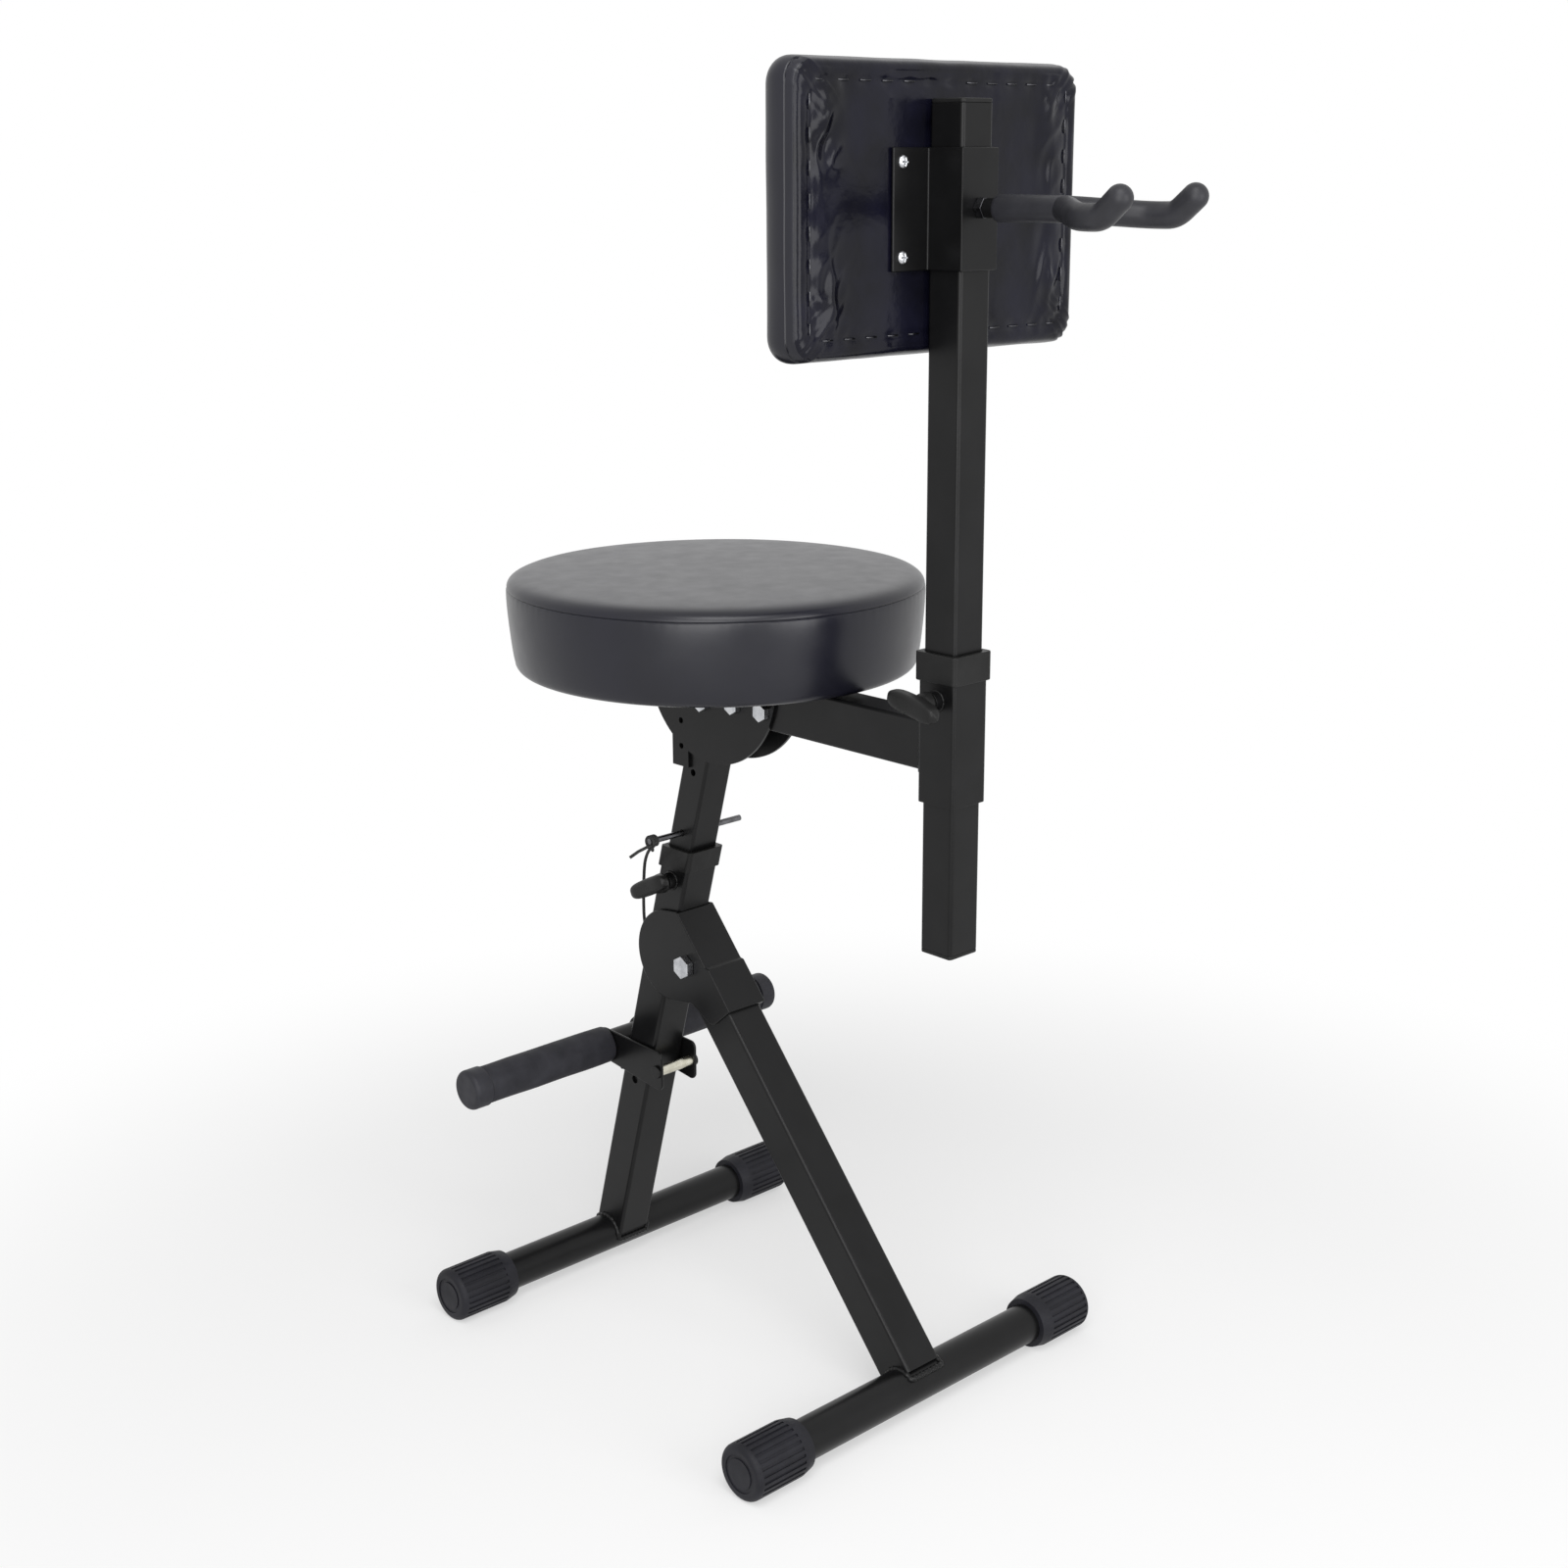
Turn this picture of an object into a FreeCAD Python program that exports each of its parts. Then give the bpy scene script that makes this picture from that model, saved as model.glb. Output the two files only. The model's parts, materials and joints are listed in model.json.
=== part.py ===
import FreeCAD, Part
import math
import os

os.makedirs("parts", exist_ok=True)
V = FreeCAD.Vector

# Guitarist's folding stool with backrest and guitar hook.
# Millimetres, +Z up, the sitter faces -Y, the sitter's left hand is +X.
# The sizes below are laid out with the seat centre on Y = 0; the last step
# slides everything along Y so that the box is centred on the origin.

# how far a cutting block or drill reaches past a piece, and the least inner corner of a tube
past = 400.0
least_corner_r = 0.6
# share of the shorter run that a bend in a rod takes up
bend_share = 0.45

# floor bars and their rubber end caps
floor_bar_d = 32.0
floor_bar_wall = 2.0
floor_bar_len = 360.0
foot_cap_wall = 6.5
foot_cap_mouth_wall = 4.5
foot_cap_len = 58.0
foot_cap_taper = 9.0
foot_cap_end_wall = 8.0
foot_cap_round = 5.0
foot_flat = 0.6
rib_count = 26
rib_start = 2.0
rib_groove_w = 2.4
rib_groove_depth = 1.1
rib_plain_deg = 26.0
end_ring_d = 30.0
end_ring_w = 3.0
end_ring_depth = 0.8
front_bar_y = -141.3
floor_span = 366.9

# front leg, a square tube that leans back
leg_w = 33.0
leg_wall = 2.0
leg_corner_r = 3.0
leg_lean_deg = 15.6
leg_top_z = 393.0
leg_start = 8.0
leg_hole_d = 7.0
leg_hole_s = 167.3

# plastic collar on the leg top
leg_collar_wall = 2.0
leg_collar_lap = 5.0
leg_collar_rise = 13.0
leg_collar_gap = 0.3
leg_collar_corner_r = 4.0

# hinge between the legs
hinge_s = 308.5
hinge_back = 22.7
lug_r = 11.0
hinge_bolt_d = 10.0
hinge_fit = 0.05
hinge_head_af = 17.0
hinge_head_h = 6.5
hinge_nut_h = 8.0
hinge_head_gap = 0.25
hinge_bolt_tail = 3.0
hinge_washer_t = 0.8
hinge_washer_d = 20.0

# rear leg and the folded bracket that wraps its top
hinge_side_gap = 1.0
rear_leg_wall = 2.0
rear_leg_corner_r = 3.0
rear_leg_setback = 21.0
bracket_t = 2.5
bracket_doubler_t = 2.5
bracket_low_t = 54.0
bracket_step_t = 12.0
bracket_step_run = 2.5
bracket_stop_gap = 0.15
cheek_nose_below_stop = 3.6107
cheek_nose_ahead = 23.2
cheek_round_nose_r = 39.0
cheek_heel_t = 28.0
cheek_heel_low = 16.5
cheek_tail_low = 6.0
cheek_round = 7.0

# seat post
post_slip = 0.5
post_wall = 2.0
post_corner_r = 2.5
post_bottom_s = 110.0
pin_over_collar = 14.0
pin_d = 5.0
pin_hole_d = 5.8
pin_pitch = 28.0
pin_holes_below = 6
pin_left_x = 49.0
pin_right_x = -49.0
pin_eye_d = 2.6
pin_eye_x = 46.0

# seat bracket, a bent sheet with two half-moon cheeks and a front web
seat_bottom_z = 566.0
seat_plate_t = 3.0
seat_plate_x = 100.0
seat_plate_y = 150.0
moon_r = 76.0
moon_t = 2.6
tab_front = 44.0
tab_back = 27.5
tab_low = 85.0
tab_high = 33.0
tab_hole_d = 5.0
tab_hole_1 = 47.0
tab_hole_2 = 68.0
bracket_bolt_d = 8.0
bracket_bolt_af = 13.0
bracket_bolt_head_h = 5.3
bracket_nut_h = 6.5
bracket_bolt_tail = 2.5
bolt_post_drop = 27.0
bolt_arm_1 = 29.0
bolt_arm_2 = 62.0
bolt_arm_drop = 23.0

# seat board and cushion
seat_d = 330.0
seat_lead = 9.8
seat_draw_in = 5.0
seat_shoulder = 3.0
seat_side_h = 66.0
seat_edge_in = 7.0
seat_edge_up = 6.0
seat_bulge_up = 38.0
seat_crown = 3.0
seat_board_d = 300.0
seat_board_t = 10.0
seat_lip = 8.0
cushion_gap = 0.3
seat_screw_x = 38.0
seat_screw_y = 58.0
seat_screw_d = 5.0
seat_screw_head_d = 10.0
seat_screw_head_h = 2.6
seat_screw_len = 8.0

# arm that carries the backrest sleeve
arm_h = 37.8
arm_wall = 2.0
arm_corner_r = 2.5
arm_front = 17.5
arm_reach = 243.2

# backrest pole, sleeve and collar
pole_w = 30.0
pole_wall = 1.6
pole_corner_r = 3.0
pole_down = 175.0
pole_top_drop = 25.5
pole_plug_t = 3.0
pole_plug_depth = 16.0
pole_slip = 0.5
sleeve_wall = 2.0
sleeve_corner_r = 3.0
sleeve_down = 60.0
sleeve_up = 43.0
sleeve_collar_wall = 2.25
sleeve_collar_lap = 13.0
sleeve_collar_rise = 8.0
sleeve_collar_gap = 0.3
sleeve_collar_corner_r = 4.0

# backrest pad
pad_w = 280.0
pad_h = 193.0
pad_up = 353.0
pad_pole_gap = 0.4
pad_depth = 35.0
pad_corner_r = 15.0
pad_corner_fade = 0.15
pad_corner_least = 8.0
# share of the pad's depth from its back, and how far the outline draws in there
pad_sections = ((0.0, 2.5), (0.07, 0.9), (0.16, 0.2), (0.32, 0.0), (0.58, 0.4), (0.7, 2.4), (0.79, 5.6),
                (0.86, 11.4), (0.92, 24.0), (0.97, 46.0), (1.0, 76.0))
pad_board_margin = 9.0
pad_board_r = 11.0
pad_panel_margin = 7.0
pad_panel_r = 10.0
pad_board_t = 10.0
pad_panel_t = 1.3
strap_h = 80.0
strap_t = 2.5
strap_flange = 33.2
strap_gap = 0.3
strap_screw_edge = 8.5
strap_screw_dz = 30.7
strap_screw_d = 4.0
strap_screw_head_d = 9.0
strap_screw_head_h = 2.8
strap_screw_depth = 8.0

# guitar hook
hook_up = 1.0
hook_stud_d = 8.0
hook_stud_in = 10.0
hook_stud_out = 21.2
hook_nut_af = 13.0
hook_nut_h = 6.5
hook_nut_gap = 0.3
hook_stem_len = 60.4
hook_stem_d = 13.0
hook_rod_d = 9.0
hook_fit = 0.05
hook_bare = 9.0
hook_foam_lap = 5.0
hook_foam_d = 17.6
prong_foam_d = 17.2
prong_fork = 7.0
prong_out_x = 33.0
prong_out = 43.0
prong_dip = 3.5
prong_run_x = 37.0
prong_run = 66.0
prong_tip_x = 38.0
prong_tip = 85.0
prong_rise = 12.5
prong_split = 0.2
hook_bore_over = 0.4

# footrest
footrest_s = 181.0
footrest_out = 23.35
footrest_bar_d = 22.0
footrest_bar_len = 324.0
footrest_bar_wall = 2.0
grip_d = 32.0
grip_inner_x = 20.4
grip_outer_x = 152.0
footrest_cap_d = 34.0
footrest_cap_end_x = 168.0
footrest_cap_round = 4.0
cheek_gap = 0.8
cheek_t = 2.5
cheek_nose_r = 14.5
ear_pin_s = 194.3
ear_pin_back = 11.6
ear_top = 18.0
ear_back = 6.0
ear_low = 17.5
ear_round = 6.0
footrest_rivet_d = 6.0
footrest_rivet_head_d = 11.0
footrest_rivet_head_h = 2.2
footrest_spacer_d = 9.0
web_gap = 0.5
web_t = 3.0
web_h = 28.0

# clamp screws with wing knobs
clamp_d = 8.0
clamp_fit = 0.05
clamp_tip_gap = 0.15
clamp_wall_hole_d = 8.8
boss_d = 14.0
boss_len = 6.5
knob_gap = 1.5
knob_hub_d = 17.0
knob_hub_len = 7.0
knob_wing_len = 49.0
knob_wing_t = 11.0
knob_wing_h = 15.0
knob_bore_len = 12.0
knob_bore_over = 0.3
knob_hub_drop = 2.0
seat_clamp_drop = 11.0
seat_knob_deg = 27.0
pole_clamp_drop = 13.0
pole_knob_deg = -12.0

# tether cord of the locking pin
cord_d = 2.6
cord_seat_gap = 0.3
cord_pin_gap = 1.3
# side, distance down the leg from the pin, distance in front of the leg
cord_run = ((43.5, 11.5, -12.5), (35.5, 22.0, -2.6), (27.0, 38.0, 7.4), (20.5, 59.0, 11.4),
            (16.5, 80.0, 11.6), (14.0, 101.0, 8.6))
cord_end_x = 12.0
cord_end_drop = 118.0

sin_l = math.sin(math.radians(leg_lean_deg))
cos_l = math.cos(math.radians(leg_lean_deg))
foot_cap_d = floor_bar_d + 2 * foot_cap_wall
floor_bar_half = floor_bar_len / 2.0
bar_z = foot_cap_d / 2.0 - foot_flat
rear_bar_y = front_bar_y + floor_span
leg_half = leg_w / 2.0
rear_leg_w = leg_w + 2 * hinge_side_gap
post_w = leg_w - 2 * leg_wall - 2 * post_slip
sleeve_w = pole_w + 2 * sleeve_wall + 2 * pole_slip
leg_collar_z0 = leg_top_z - leg_collar_lap
leg_collar_z1 = leg_top_z + leg_collar_rise
seat_clamp_z = leg_collar_z0 - seat_clamp_drop
pin_z = leg_collar_z1 + pin_over_collar
plate_z = seat_bottom_z - seat_plate_t
sleeve_z0 = plate_z - sleeve_down
sleeve_z1 = plate_z + sleeve_up
sleeve_collar_z0 = sleeve_z1 - sleeve_collar_lap
sleeve_collar_z1 = sleeve_z1 + sleeve_collar_rise
pole_clamp_z = sleeve_collar_z0 - pole_clamp_drop
pad_z = plate_z + pad_up
pole_z0 = plate_z - pole_down
pole_z1 = pad_z + pad_h / 2.0 - pole_top_drop
seat_top_z = seat_bottom_z + seat_side_h


def leg_point(s, n=0.0, x=0.0):
    # s runs up the front leg from the bar axis, n points to the back of the leg
    return V(x, front_bar_y + s * sin_l + n * cos_l, bar_z + s * cos_l - n * sin_l)


def leg_s(z):
    return (z - bar_z) / cos_l


hinge_p = leg_point(hinge_s, leg_half + hinge_back)
hinge_y = hinge_p.y
hinge_z = hinge_p.z
hinge_n = leg_half + hinge_back
moon_y = leg_point(leg_s(plate_z)).y
seat_y = moon_y - seat_lead
pole_y = moon_y + arm_reach
foot_axis = leg_point(footrest_s, -leg_half - footrest_out)
ear_pin = leg_point(ear_pin_s, leg_half + ear_pin_back)
footrest_y = foot_axis.y
footrest_z = foot_axis.z


def block(x0, x1, y0, y1, z0, z1):
    return Part.makeBox(x1 - x0, y1 - y0, z1 - z0, V(x0, y0, z0))


def rod_x(x0, x1, y, z, d):
    return Part.makeCylinder(d / 2.0, x1 - x0, V(x0, y, z), V(1, 0, 0))


def rod_y(y0, y1, x, z, d):
    return Part.makeCylinder(d / 2.0, y1 - y0, V(x, y0, z), V(0, 1, 0))


def rod_z(z0, z1, x, y, d):
    return Part.makeCylinder(d / 2.0, z1 - z0, V(x, y, z0), V(0, 0, 1))


def rounded_rect(w, d, r, z=0.0):
    a = w / 2.0
    b = d / 2.0
    k = r * math.sqrt(0.5)
    edges = []
    ends = []
    for sx, sy in ((1, 1), (-1, 1), (-1, -1), (1, -1)):
        cx = sx * (a - r)
        cy = sy * (b - r)
        p_x = V(cx + sx * r, cy, z)
        p_y = V(cx, cy + sy * r, z)
        mid = V(cx + sx * k, cy + sy * k, z)
        first, last = (p_x, p_y) if sx * sy > 0 else (p_y, p_x)
        ends.append((first, mid, last))
    for i in range(4):
        first, mid, last = ends[i]
        edges.append(Part.Arc(first, mid, last).toShape())
        nxt = ends[(i + 1) % 4][0]
        edges.append(Part.LineSegment(last, nxt).toShape())
    return Part.Wire(edges)


def square_bar(w, d, r, z0, z1):
    return Part.Face(rounded_rect(w, d, r, z0)).extrude(V(0, 0, z1 - z0))


def square_tube(w, d, wall, r, z0, z1):
    inner_r = max(r - wall, least_corner_r)
    outer = square_bar(w, d, r, z0, z1)
    return outer.cut(square_bar(w - 2 * wall, d - 2 * wall, inner_r, z0 - past, z1 + past))


def lean(shape):
    # takes a shape drawn up the Z axis onto the front leg axis
    out = shape.copy()
    out.rotate(V(0, 0, 0), V(1, 0, 0), -leg_lean_deg)
    out.translate(V(0, front_bar_y, bar_z))
    return out


def plate_yz(points, x0, x1):
    pts = [V(x0, y, z) for y, z in points]
    pts.append(pts[0])
    return Part.Face(Part.makePolygon(pts)).extrude(V(x1 - x0, 0, 0))


def hexagon_x(x0, x1, y, z, af):
    r = af / math.sqrt(3.0)
    pts = []
    for i in range(7):
        a = math.radians(60 * i + 30)
        pts.append(V(x0, y + r * math.cos(a), z + r * math.sin(a)))
    return Part.Face(Part.makePolygon(pts)).extrude(V(x1 - x0, 0, 0))


def hexagon_y(y0, y1, x, z, af):
    r = af / math.sqrt(3.0)
    pts = []
    for i in range(7):
        a = math.radians(60 * i)
        pts.append(V(x + r * math.cos(a), y0, z + r * math.sin(a)))
    return Part.Face(Part.makePolygon(pts)).extrude(V(0, y1 - y0, 0))


def soft_path(points):
    # straight runs joined by tangent arcs
    edges = []
    radii = []
    start = points[0]
    for i in range(1, len(points) - 1):
        a = points[i - 1]
        b = points[i]
        c = points[i + 1]
        u = (a - b).normalize()
        w = (c - b).normalize()
        turn = math.pi - u.getAngle(w)
        shorter = min((a - b).Length, (c - b).Length)
        cut = bend_share * shorter
        radius = cut / math.tan(turn / 2.0)
        p = b + u * cut
        q = b + w * cut
        bis = (u + w).normalize()
        centre = b + bis * (radius / math.cos(turn / 2.0))
        mid = centre - bis * radius
        edges.append(Part.LineSegment(start, p).toShape())
        edges.append(Part.Arc(p, mid, q).toShape())
        radii.append(radius)
        start = q
    edges.append(Part.LineSegment(start, points[-1]).toShape())
    return Part.Wire(edges), radii


def swept_rod(points, d):
    wire, radii = soft_path(points)
    ahead = points[1] - points[0]
    ring = Part.Wire(Part.Edge(Part.Circle(points[0], ahead, d / 2.0)))
    return wire.makePipeShell([ring], True, True), wire.Length, radii


pieces = {}

# floor bars
front_bar = rod_x(-floor_bar_half, floor_bar_half, front_bar_y, bar_z, floor_bar_d)
front_bar_core = front_bar.copy()
bore_d = floor_bar_d - 2 * floor_bar_wall
front_bar = front_bar.cut(rod_x(-past, past, front_bar_y, bar_z, bore_d))
pieces["front_floor_bar"] = front_bar
rear_bar_core = rod_x(-floor_bar_half, floor_bar_half, rear_bar_y, bar_z, floor_bar_d)
pieces["rear_floor_bar"] = rear_bar_core.cut(
    rod_x(-past, past, rear_bar_y, bar_z, bore_d))


def foot_cap(side, y):
    r_out = foot_cap_d / 2.0
    r_in = floor_bar_d / 2.0
    r_mouth = r_in + foot_cap_mouth_wall
    x_end = floor_bar_half + foot_cap_end_wall
    x_in = x_end - foot_cap_len
    c = foot_cap_round
    k = c * (1 - math.sqrt(0.5))
    pts = [V(x_in, 0, r_in), V(x_in, 0, r_mouth), V(x_in + foot_cap_taper, 0, r_out), V(x_end - c, 0, r_out)]
    arc = Part.Arc(pts[3], V(x_end - k, 0, r_out - k), V(x_end, 0, r_out - c))
    edges = [Part.LineSegment(pts[0], pts[1]).toShape(),
             Part.LineSegment(pts[1], pts[2]).toShape(),
             Part.LineSegment(pts[2], pts[3]).toShape(),
             arc.toShape(),
             Part.LineSegment(V(x_end, 0, r_out - c), V(x_end, 0, 0)).toShape(),
             Part.LineSegment(V(x_end, 0, 0), V(floor_bar_half, 0, 0)).toShape(),
             Part.LineSegment(V(floor_bar_half, 0, 0), V(floor_bar_half, 0, r_in)).toShape(),
             Part.LineSegment(V(floor_bar_half, 0, r_in), pts[0]).toShape()]
    body = Part.Face(Part.Wire(edges)).revolve(V(0, 0, 0), V(1, 0, 0), 360)
    grooves = []
    for i in range(rib_count):
        a = 360.0 * (i + 0.5) / rib_count
        if abs(a - 180.0) > rib_plain_deg:
            g = block(x_in + foot_cap_taper + rib_start, x_end - c, -rib_groove_w / 2, rib_groove_w / 2,
                      r_out - rib_groove_depth, r_out + past)
            g.rotate(V(0, 0, 0), V(1, 0, 0), a)
            grooves.append(g)
    body = body.cut(Part.makeCompound(grooves))
    ring = rod_x(x_end - end_ring_depth, x_end + past, 0, 0, end_ring_d)
    body = body.cut(ring.cut(rod_x(0, x_end + past, 0, 0, end_ring_d - 2 * end_ring_w)))
    if side < 0:
        body = body.mirror(V(0, 0, 0), V(1, 0, 0))
    body.translate(V(0, y, bar_z))
    return body.cut(block(-past, past, y - past, y + past, -past, 0))


pieces["front_foot_cap_left"] = foot_cap(1, front_bar_y)
pieces["front_foot_cap_right"] = foot_cap(-1, front_bar_y)
pieces["rear_foot_cap_left"] = foot_cap(1, rear_bar_y)
pieces["rear_foot_cap_right"] = foot_cap(-1, rear_bar_y)

# front leg, coped onto its floor bar and cut level at the top
leg = lean(square_tube(leg_w, leg_w, leg_wall, leg_corner_r, leg_start, leg_s(leg_top_z) + leg_w))
leg = leg.cut(block(-past, past, -past, past, leg_top_z, leg_top_z + past))
leg = leg.cut(front_bar_core)
hole_p = leg_point(leg_hole_s)
leg = leg.cut(rod_x(0, past, hole_p.y, hole_p.z, leg_hole_d))
clamp_p = leg_point(leg_s(seat_clamp_z))
leg = leg.cut(rod_x(0, past, clamp_p.y, clamp_p.z, clamp_wall_hole_d))
pieces["front_leg"] = leg

# collar: a cap over the leg end with a slanted opening for the post
leg_collar_w = leg_w + 2 * leg_collar_wall
collar = lean(square_bar(leg_collar_w, leg_collar_w, leg_collar_corner_r,
                         leg_s(leg_collar_z0) - leg_w, leg_s(leg_collar_z1) + leg_w))
collar = collar.common(block(-past, past, -past, past, leg_collar_z0, leg_collar_z1))
leg_outside = lean(square_bar(leg_w, leg_w, leg_corner_r, leg_s(leg_collar_z0) - leg_w,
                              leg_s(leg_top_z) + leg_w))
collar = collar.cut(leg_outside.common(block(-past, past, -past, past, 0, leg_top_z)))
collar_open = post_w + 2 * leg_collar_gap
collar = collar.cut(lean(square_bar(collar_open, collar_open, post_corner_r, leg_s(leg_top_z) - leg_w,
                                    leg_s(leg_collar_z1) + leg_w)))
pieces["leg_collar"] = collar

# weld nut of the seat clamp on the leg's left face
boss = rod_x(leg_half, leg_half + boss_len, clamp_p.y, clamp_p.z, boss_d)
pieces["seat_clamp_boss"] = boss.cut(
    rod_x(0, past, clamp_p.y, clamp_p.z, clamp_d + 2 * clamp_fit))

# hinge lug on the back of the front leg
lug_half_x = leg_half
lug_bar = block(-lug_half_x, lug_half_x, leg_half, hinge_n, hinge_s - lug_r, hinge_s + lug_r)
lug = lean(lug_bar).fuse(rod_x(-lug_half_x, lug_half_x, hinge_y, hinge_z, 2 * lug_r))
lug = lug.removeSplitter()
pieces["hinge_lug"] = lug.cut(rod_x(-past, past, hinge_y, hinge_z, hinge_bolt_d))

# hinge bolt, nut and spacer washers
cheek_in = rear_leg_w / 2.0
cheek_out = cheek_in + bracket_t
head_in = cheek_out + hinge_head_gap
bolt = rod_x(-head_in - hinge_nut_h - hinge_bolt_tail, head_in, hinge_y, hinge_z, hinge_bolt_d)
bolt = bolt.fuse(hexagon_x(head_in, head_in + hinge_head_h, hinge_y, hinge_z, hinge_head_af))
pieces["hinge_bolt"] = bolt.removeSplitter()
nut = hexagon_x(-head_in - hinge_nut_h, -head_in, hinge_y, hinge_z, hinge_head_af)
pieces["hinge_nut"] = nut.cut(rod_x(-past, past, hinge_y, hinge_z, hinge_bolt_d))
washers = []
for side in (1, -1):
    w0 = side * lug_half_x
    w1 = side * (lug_half_x + hinge_washer_t)
    ring = rod_x(min(w0, w1), max(w0, w1), hinge_y, hinge_z, hinge_washer_d)
    washers.append(ring.cut(rod_x(-past, past, hinge_y, hinge_z, hinge_bolt_d)))
pieces["hinge_washers"] = Part.makeCompound(washers)

# rear leg: its axis runs from the hinge to the rear floor bar
rear_dy = rear_bar_y - hinge_y
rear_dz = hinge_z - bar_z
rear_len = math.hypot(rear_dy, rear_dz)
rear_deg = math.degrees(math.atan2(rear_dy, rear_dz))
sin_r = rear_dy / rear_len
cos_r = rear_dz / rear_len


def rear_point(t, n):
    # t runs down the rear leg from the hinge, n points to its upper back side
    return (hinge_y + t * sin_r + n * cos_r, hinge_z - t * cos_r + n * sin_r)


rear = square_tube(rear_leg_w, rear_leg_w, rear_leg_wall, rear_leg_corner_r,
                   leg_start, rear_len - rear_leg_setback)
rear.rotate(V(0, 0, 0), V(1, 0, 0), rear_deg)
rear.translate(V(0, rear_bar_y, bar_z))
pieces["rear_leg"] = rear.cut(rear_bar_core)

# hinge bracket: two cheeks beside both legs joined by a web behind the rear leg
web_in = rear_leg_w / 2.0
web_out = web_in + bracket_t
low_out = web_out + bracket_doubler_t
stop_n = leg_half + bracket_stop_gap


def stop_t(n):
    # where a line at height n over the rear leg meets the back face of the front leg
    d_dot = sin_r * cos_l + cos_r * sin_l
    n_dot = cos_r * cos_l - sin_r * sin_l
    return (stop_n - hinge_n - n * n_dot) / d_dot


web_pts = [rear_point(stop_t(web_in), web_in), rear_point(stop_t(web_out), web_out),
           rear_point(bracket_step_t, web_out), rear_point(bracket_step_t + bracket_step_run, low_out),
           rear_point(bracket_low_t, low_out), rear_point(bracket_low_t, web_in)]
web = plate_yz(web_pts, -cheek_out, cheek_out)


def leg_yz(s, n):
    p = leg_point(s, n)
    return (p.y, p.z)


def up_the_leg(point):
    # how far up the front leg a point lies
    start = leg_point(0, 0)
    return (point[0] - start.y) * sin_l + (point[1] - start.z) * cos_l


# outline of a cheek: a round nose beside the front leg, run out by tangents to the rear leg;
# the top of the nose stays below the edge of the web that stops on the leg
cheek_top_yz = rear_point(stop_t(web_out), web_out)
nose_s = up_the_leg(cheek_top_yz) - cheek_nose_below_stop - cheek_round_nose_r
nose_yz = leg_yz(nose_s, hinge_n - cheek_nose_ahead)
cheek_heel_yz = rear_point(cheek_heel_t, -cheek_heel_low)
cheek_tail_yz = rear_point(bracket_low_t, -cheek_tail_low)


def nose_spot(turn):
    return (nose_yz[0] + cheek_round_nose_r * math.cos(turn),
            nose_yz[1] + cheek_round_nose_r * math.sin(turn))


def tangent_spot(point, side):
    # where a line from a point touches the round nose, on the given side of it
    dy = point[0] - nose_yz[0]
    dz = point[1] - nose_yz[1]
    turn = math.atan2(dz, dy) + side * math.acos(cheek_round_nose_r / math.hypot(dy, dz))
    return nose_spot(turn)


touch_top = tangent_spot(cheek_top_yz, 1)
touch_low = tangent_spot(cheek_heel_yz, -1)
nose_a = math.atan2(touch_top[1] - nose_yz[1], touch_top[0] - nose_yz[0])
nose_b = math.atan2(touch_low[1] - nose_yz[1], touch_low[0] - nose_yz[0]) + 2 * math.pi
nose_mid = nose_spot((nose_a + nose_b) / 2.0)
cheek_run = [touch_low, cheek_heel_yz, cheek_tail_yz, rear_point(bracket_low_t, web_out), cheek_top_yz,
             touch_top]
bracket = web
for side in (1, -1):
    x0 = min(side * cheek_in, side * cheek_out)
    run = [V(x0, y, z) for y, z in cheek_run]
    outline = [Part.Arc(V(x0, *touch_top), V(x0, *nose_mid), V(x0, *touch_low)).toShape()]
    for i in range(len(run) - 1):
        outline.append(Part.LineSegment(run[i], run[i + 1]).toShape())
    cheek = Part.Face(Part.Wire(outline)).extrude(V(bracket_t, 0, 0))
    rounds = []
    for e in cheek.Edges:
        spot = e.CenterOfMass
        for y, z in (cheek_heel_yz, cheek_tail_yz):
            if math.hypot(spot.y - y, spot.z - z) < 0.01:
                rounds.append(e)
    bracket = bracket.fuse(cheek.makeFillet(cheek_round, rounds))
bracket = bracket.removeSplitter()
pieces["hinge_bracket"] = bracket.cut(
    rod_x(-past, past, hinge_y, hinge_z, hinge_bolt_d + 2 * hinge_fit))

# seat post with its row of pin holes
post = lean(square_tube(post_w, post_w, post_wall, post_corner_r, post_bottom_s, leg_s(plate_z) + post_w))
post = post.cut(block(-past, past, -past, past, plate_z, plate_z + past))
pin_s = leg_s(pin_z)
for i in range(-2, pin_holes_below + 1):
    if i != -1:
        p = leg_point(pin_s - i * pin_pitch)
        post = post.cut(rod_x(-past, past, p.y, p.z, pin_hole_d))
post_bolt = leg_point(leg_s(plate_z - bolt_post_drop))
bolt_arm_z = plate_z - bolt_arm_drop
bolt_spots = [(post_bolt.y, post_bolt.z), (moon_y + bolt_arm_1, bolt_arm_z),
              (moon_y + bolt_arm_2, bolt_arm_z)]
post = post.cut(rod_x(-past, past, bolt_spots[0][0], bolt_spots[0][1], bracket_bolt_d))
pieces["seat_post"] = post

# seat bracket
moon_in = post_w / 2.0
moon_out = moon_in + moon_t
tab_y0 = moon_y - tab_front
tab_y1 = moon_y - tab_back
tab_z0 = plate_z - tab_low
tab_z1 = plate_z - tab_high
bracket_solid = None
for side in (1, -1):
    x0 = min(side * moon_in, side * moon_out)
    disc = Part.makeCylinder(moon_r, moon_t, V(x0, moon_y, plate_z), V(1, 0, 0))
    half = disc.common(block(-past, past, -past, past, plate_z - past, plate_z))
    tab = block(x0, x0 + moon_t, tab_y0, tab_y1, tab_z0, tab_z1)
    half = half.fuse(tab)
    bracket_solid = half if bracket_solid is None else bracket_solid.fuse(half)
front_web = block(-moon_out, moon_out, tab_y0 - moon_t, tab_y0, tab_z0, tab_z1)
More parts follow.
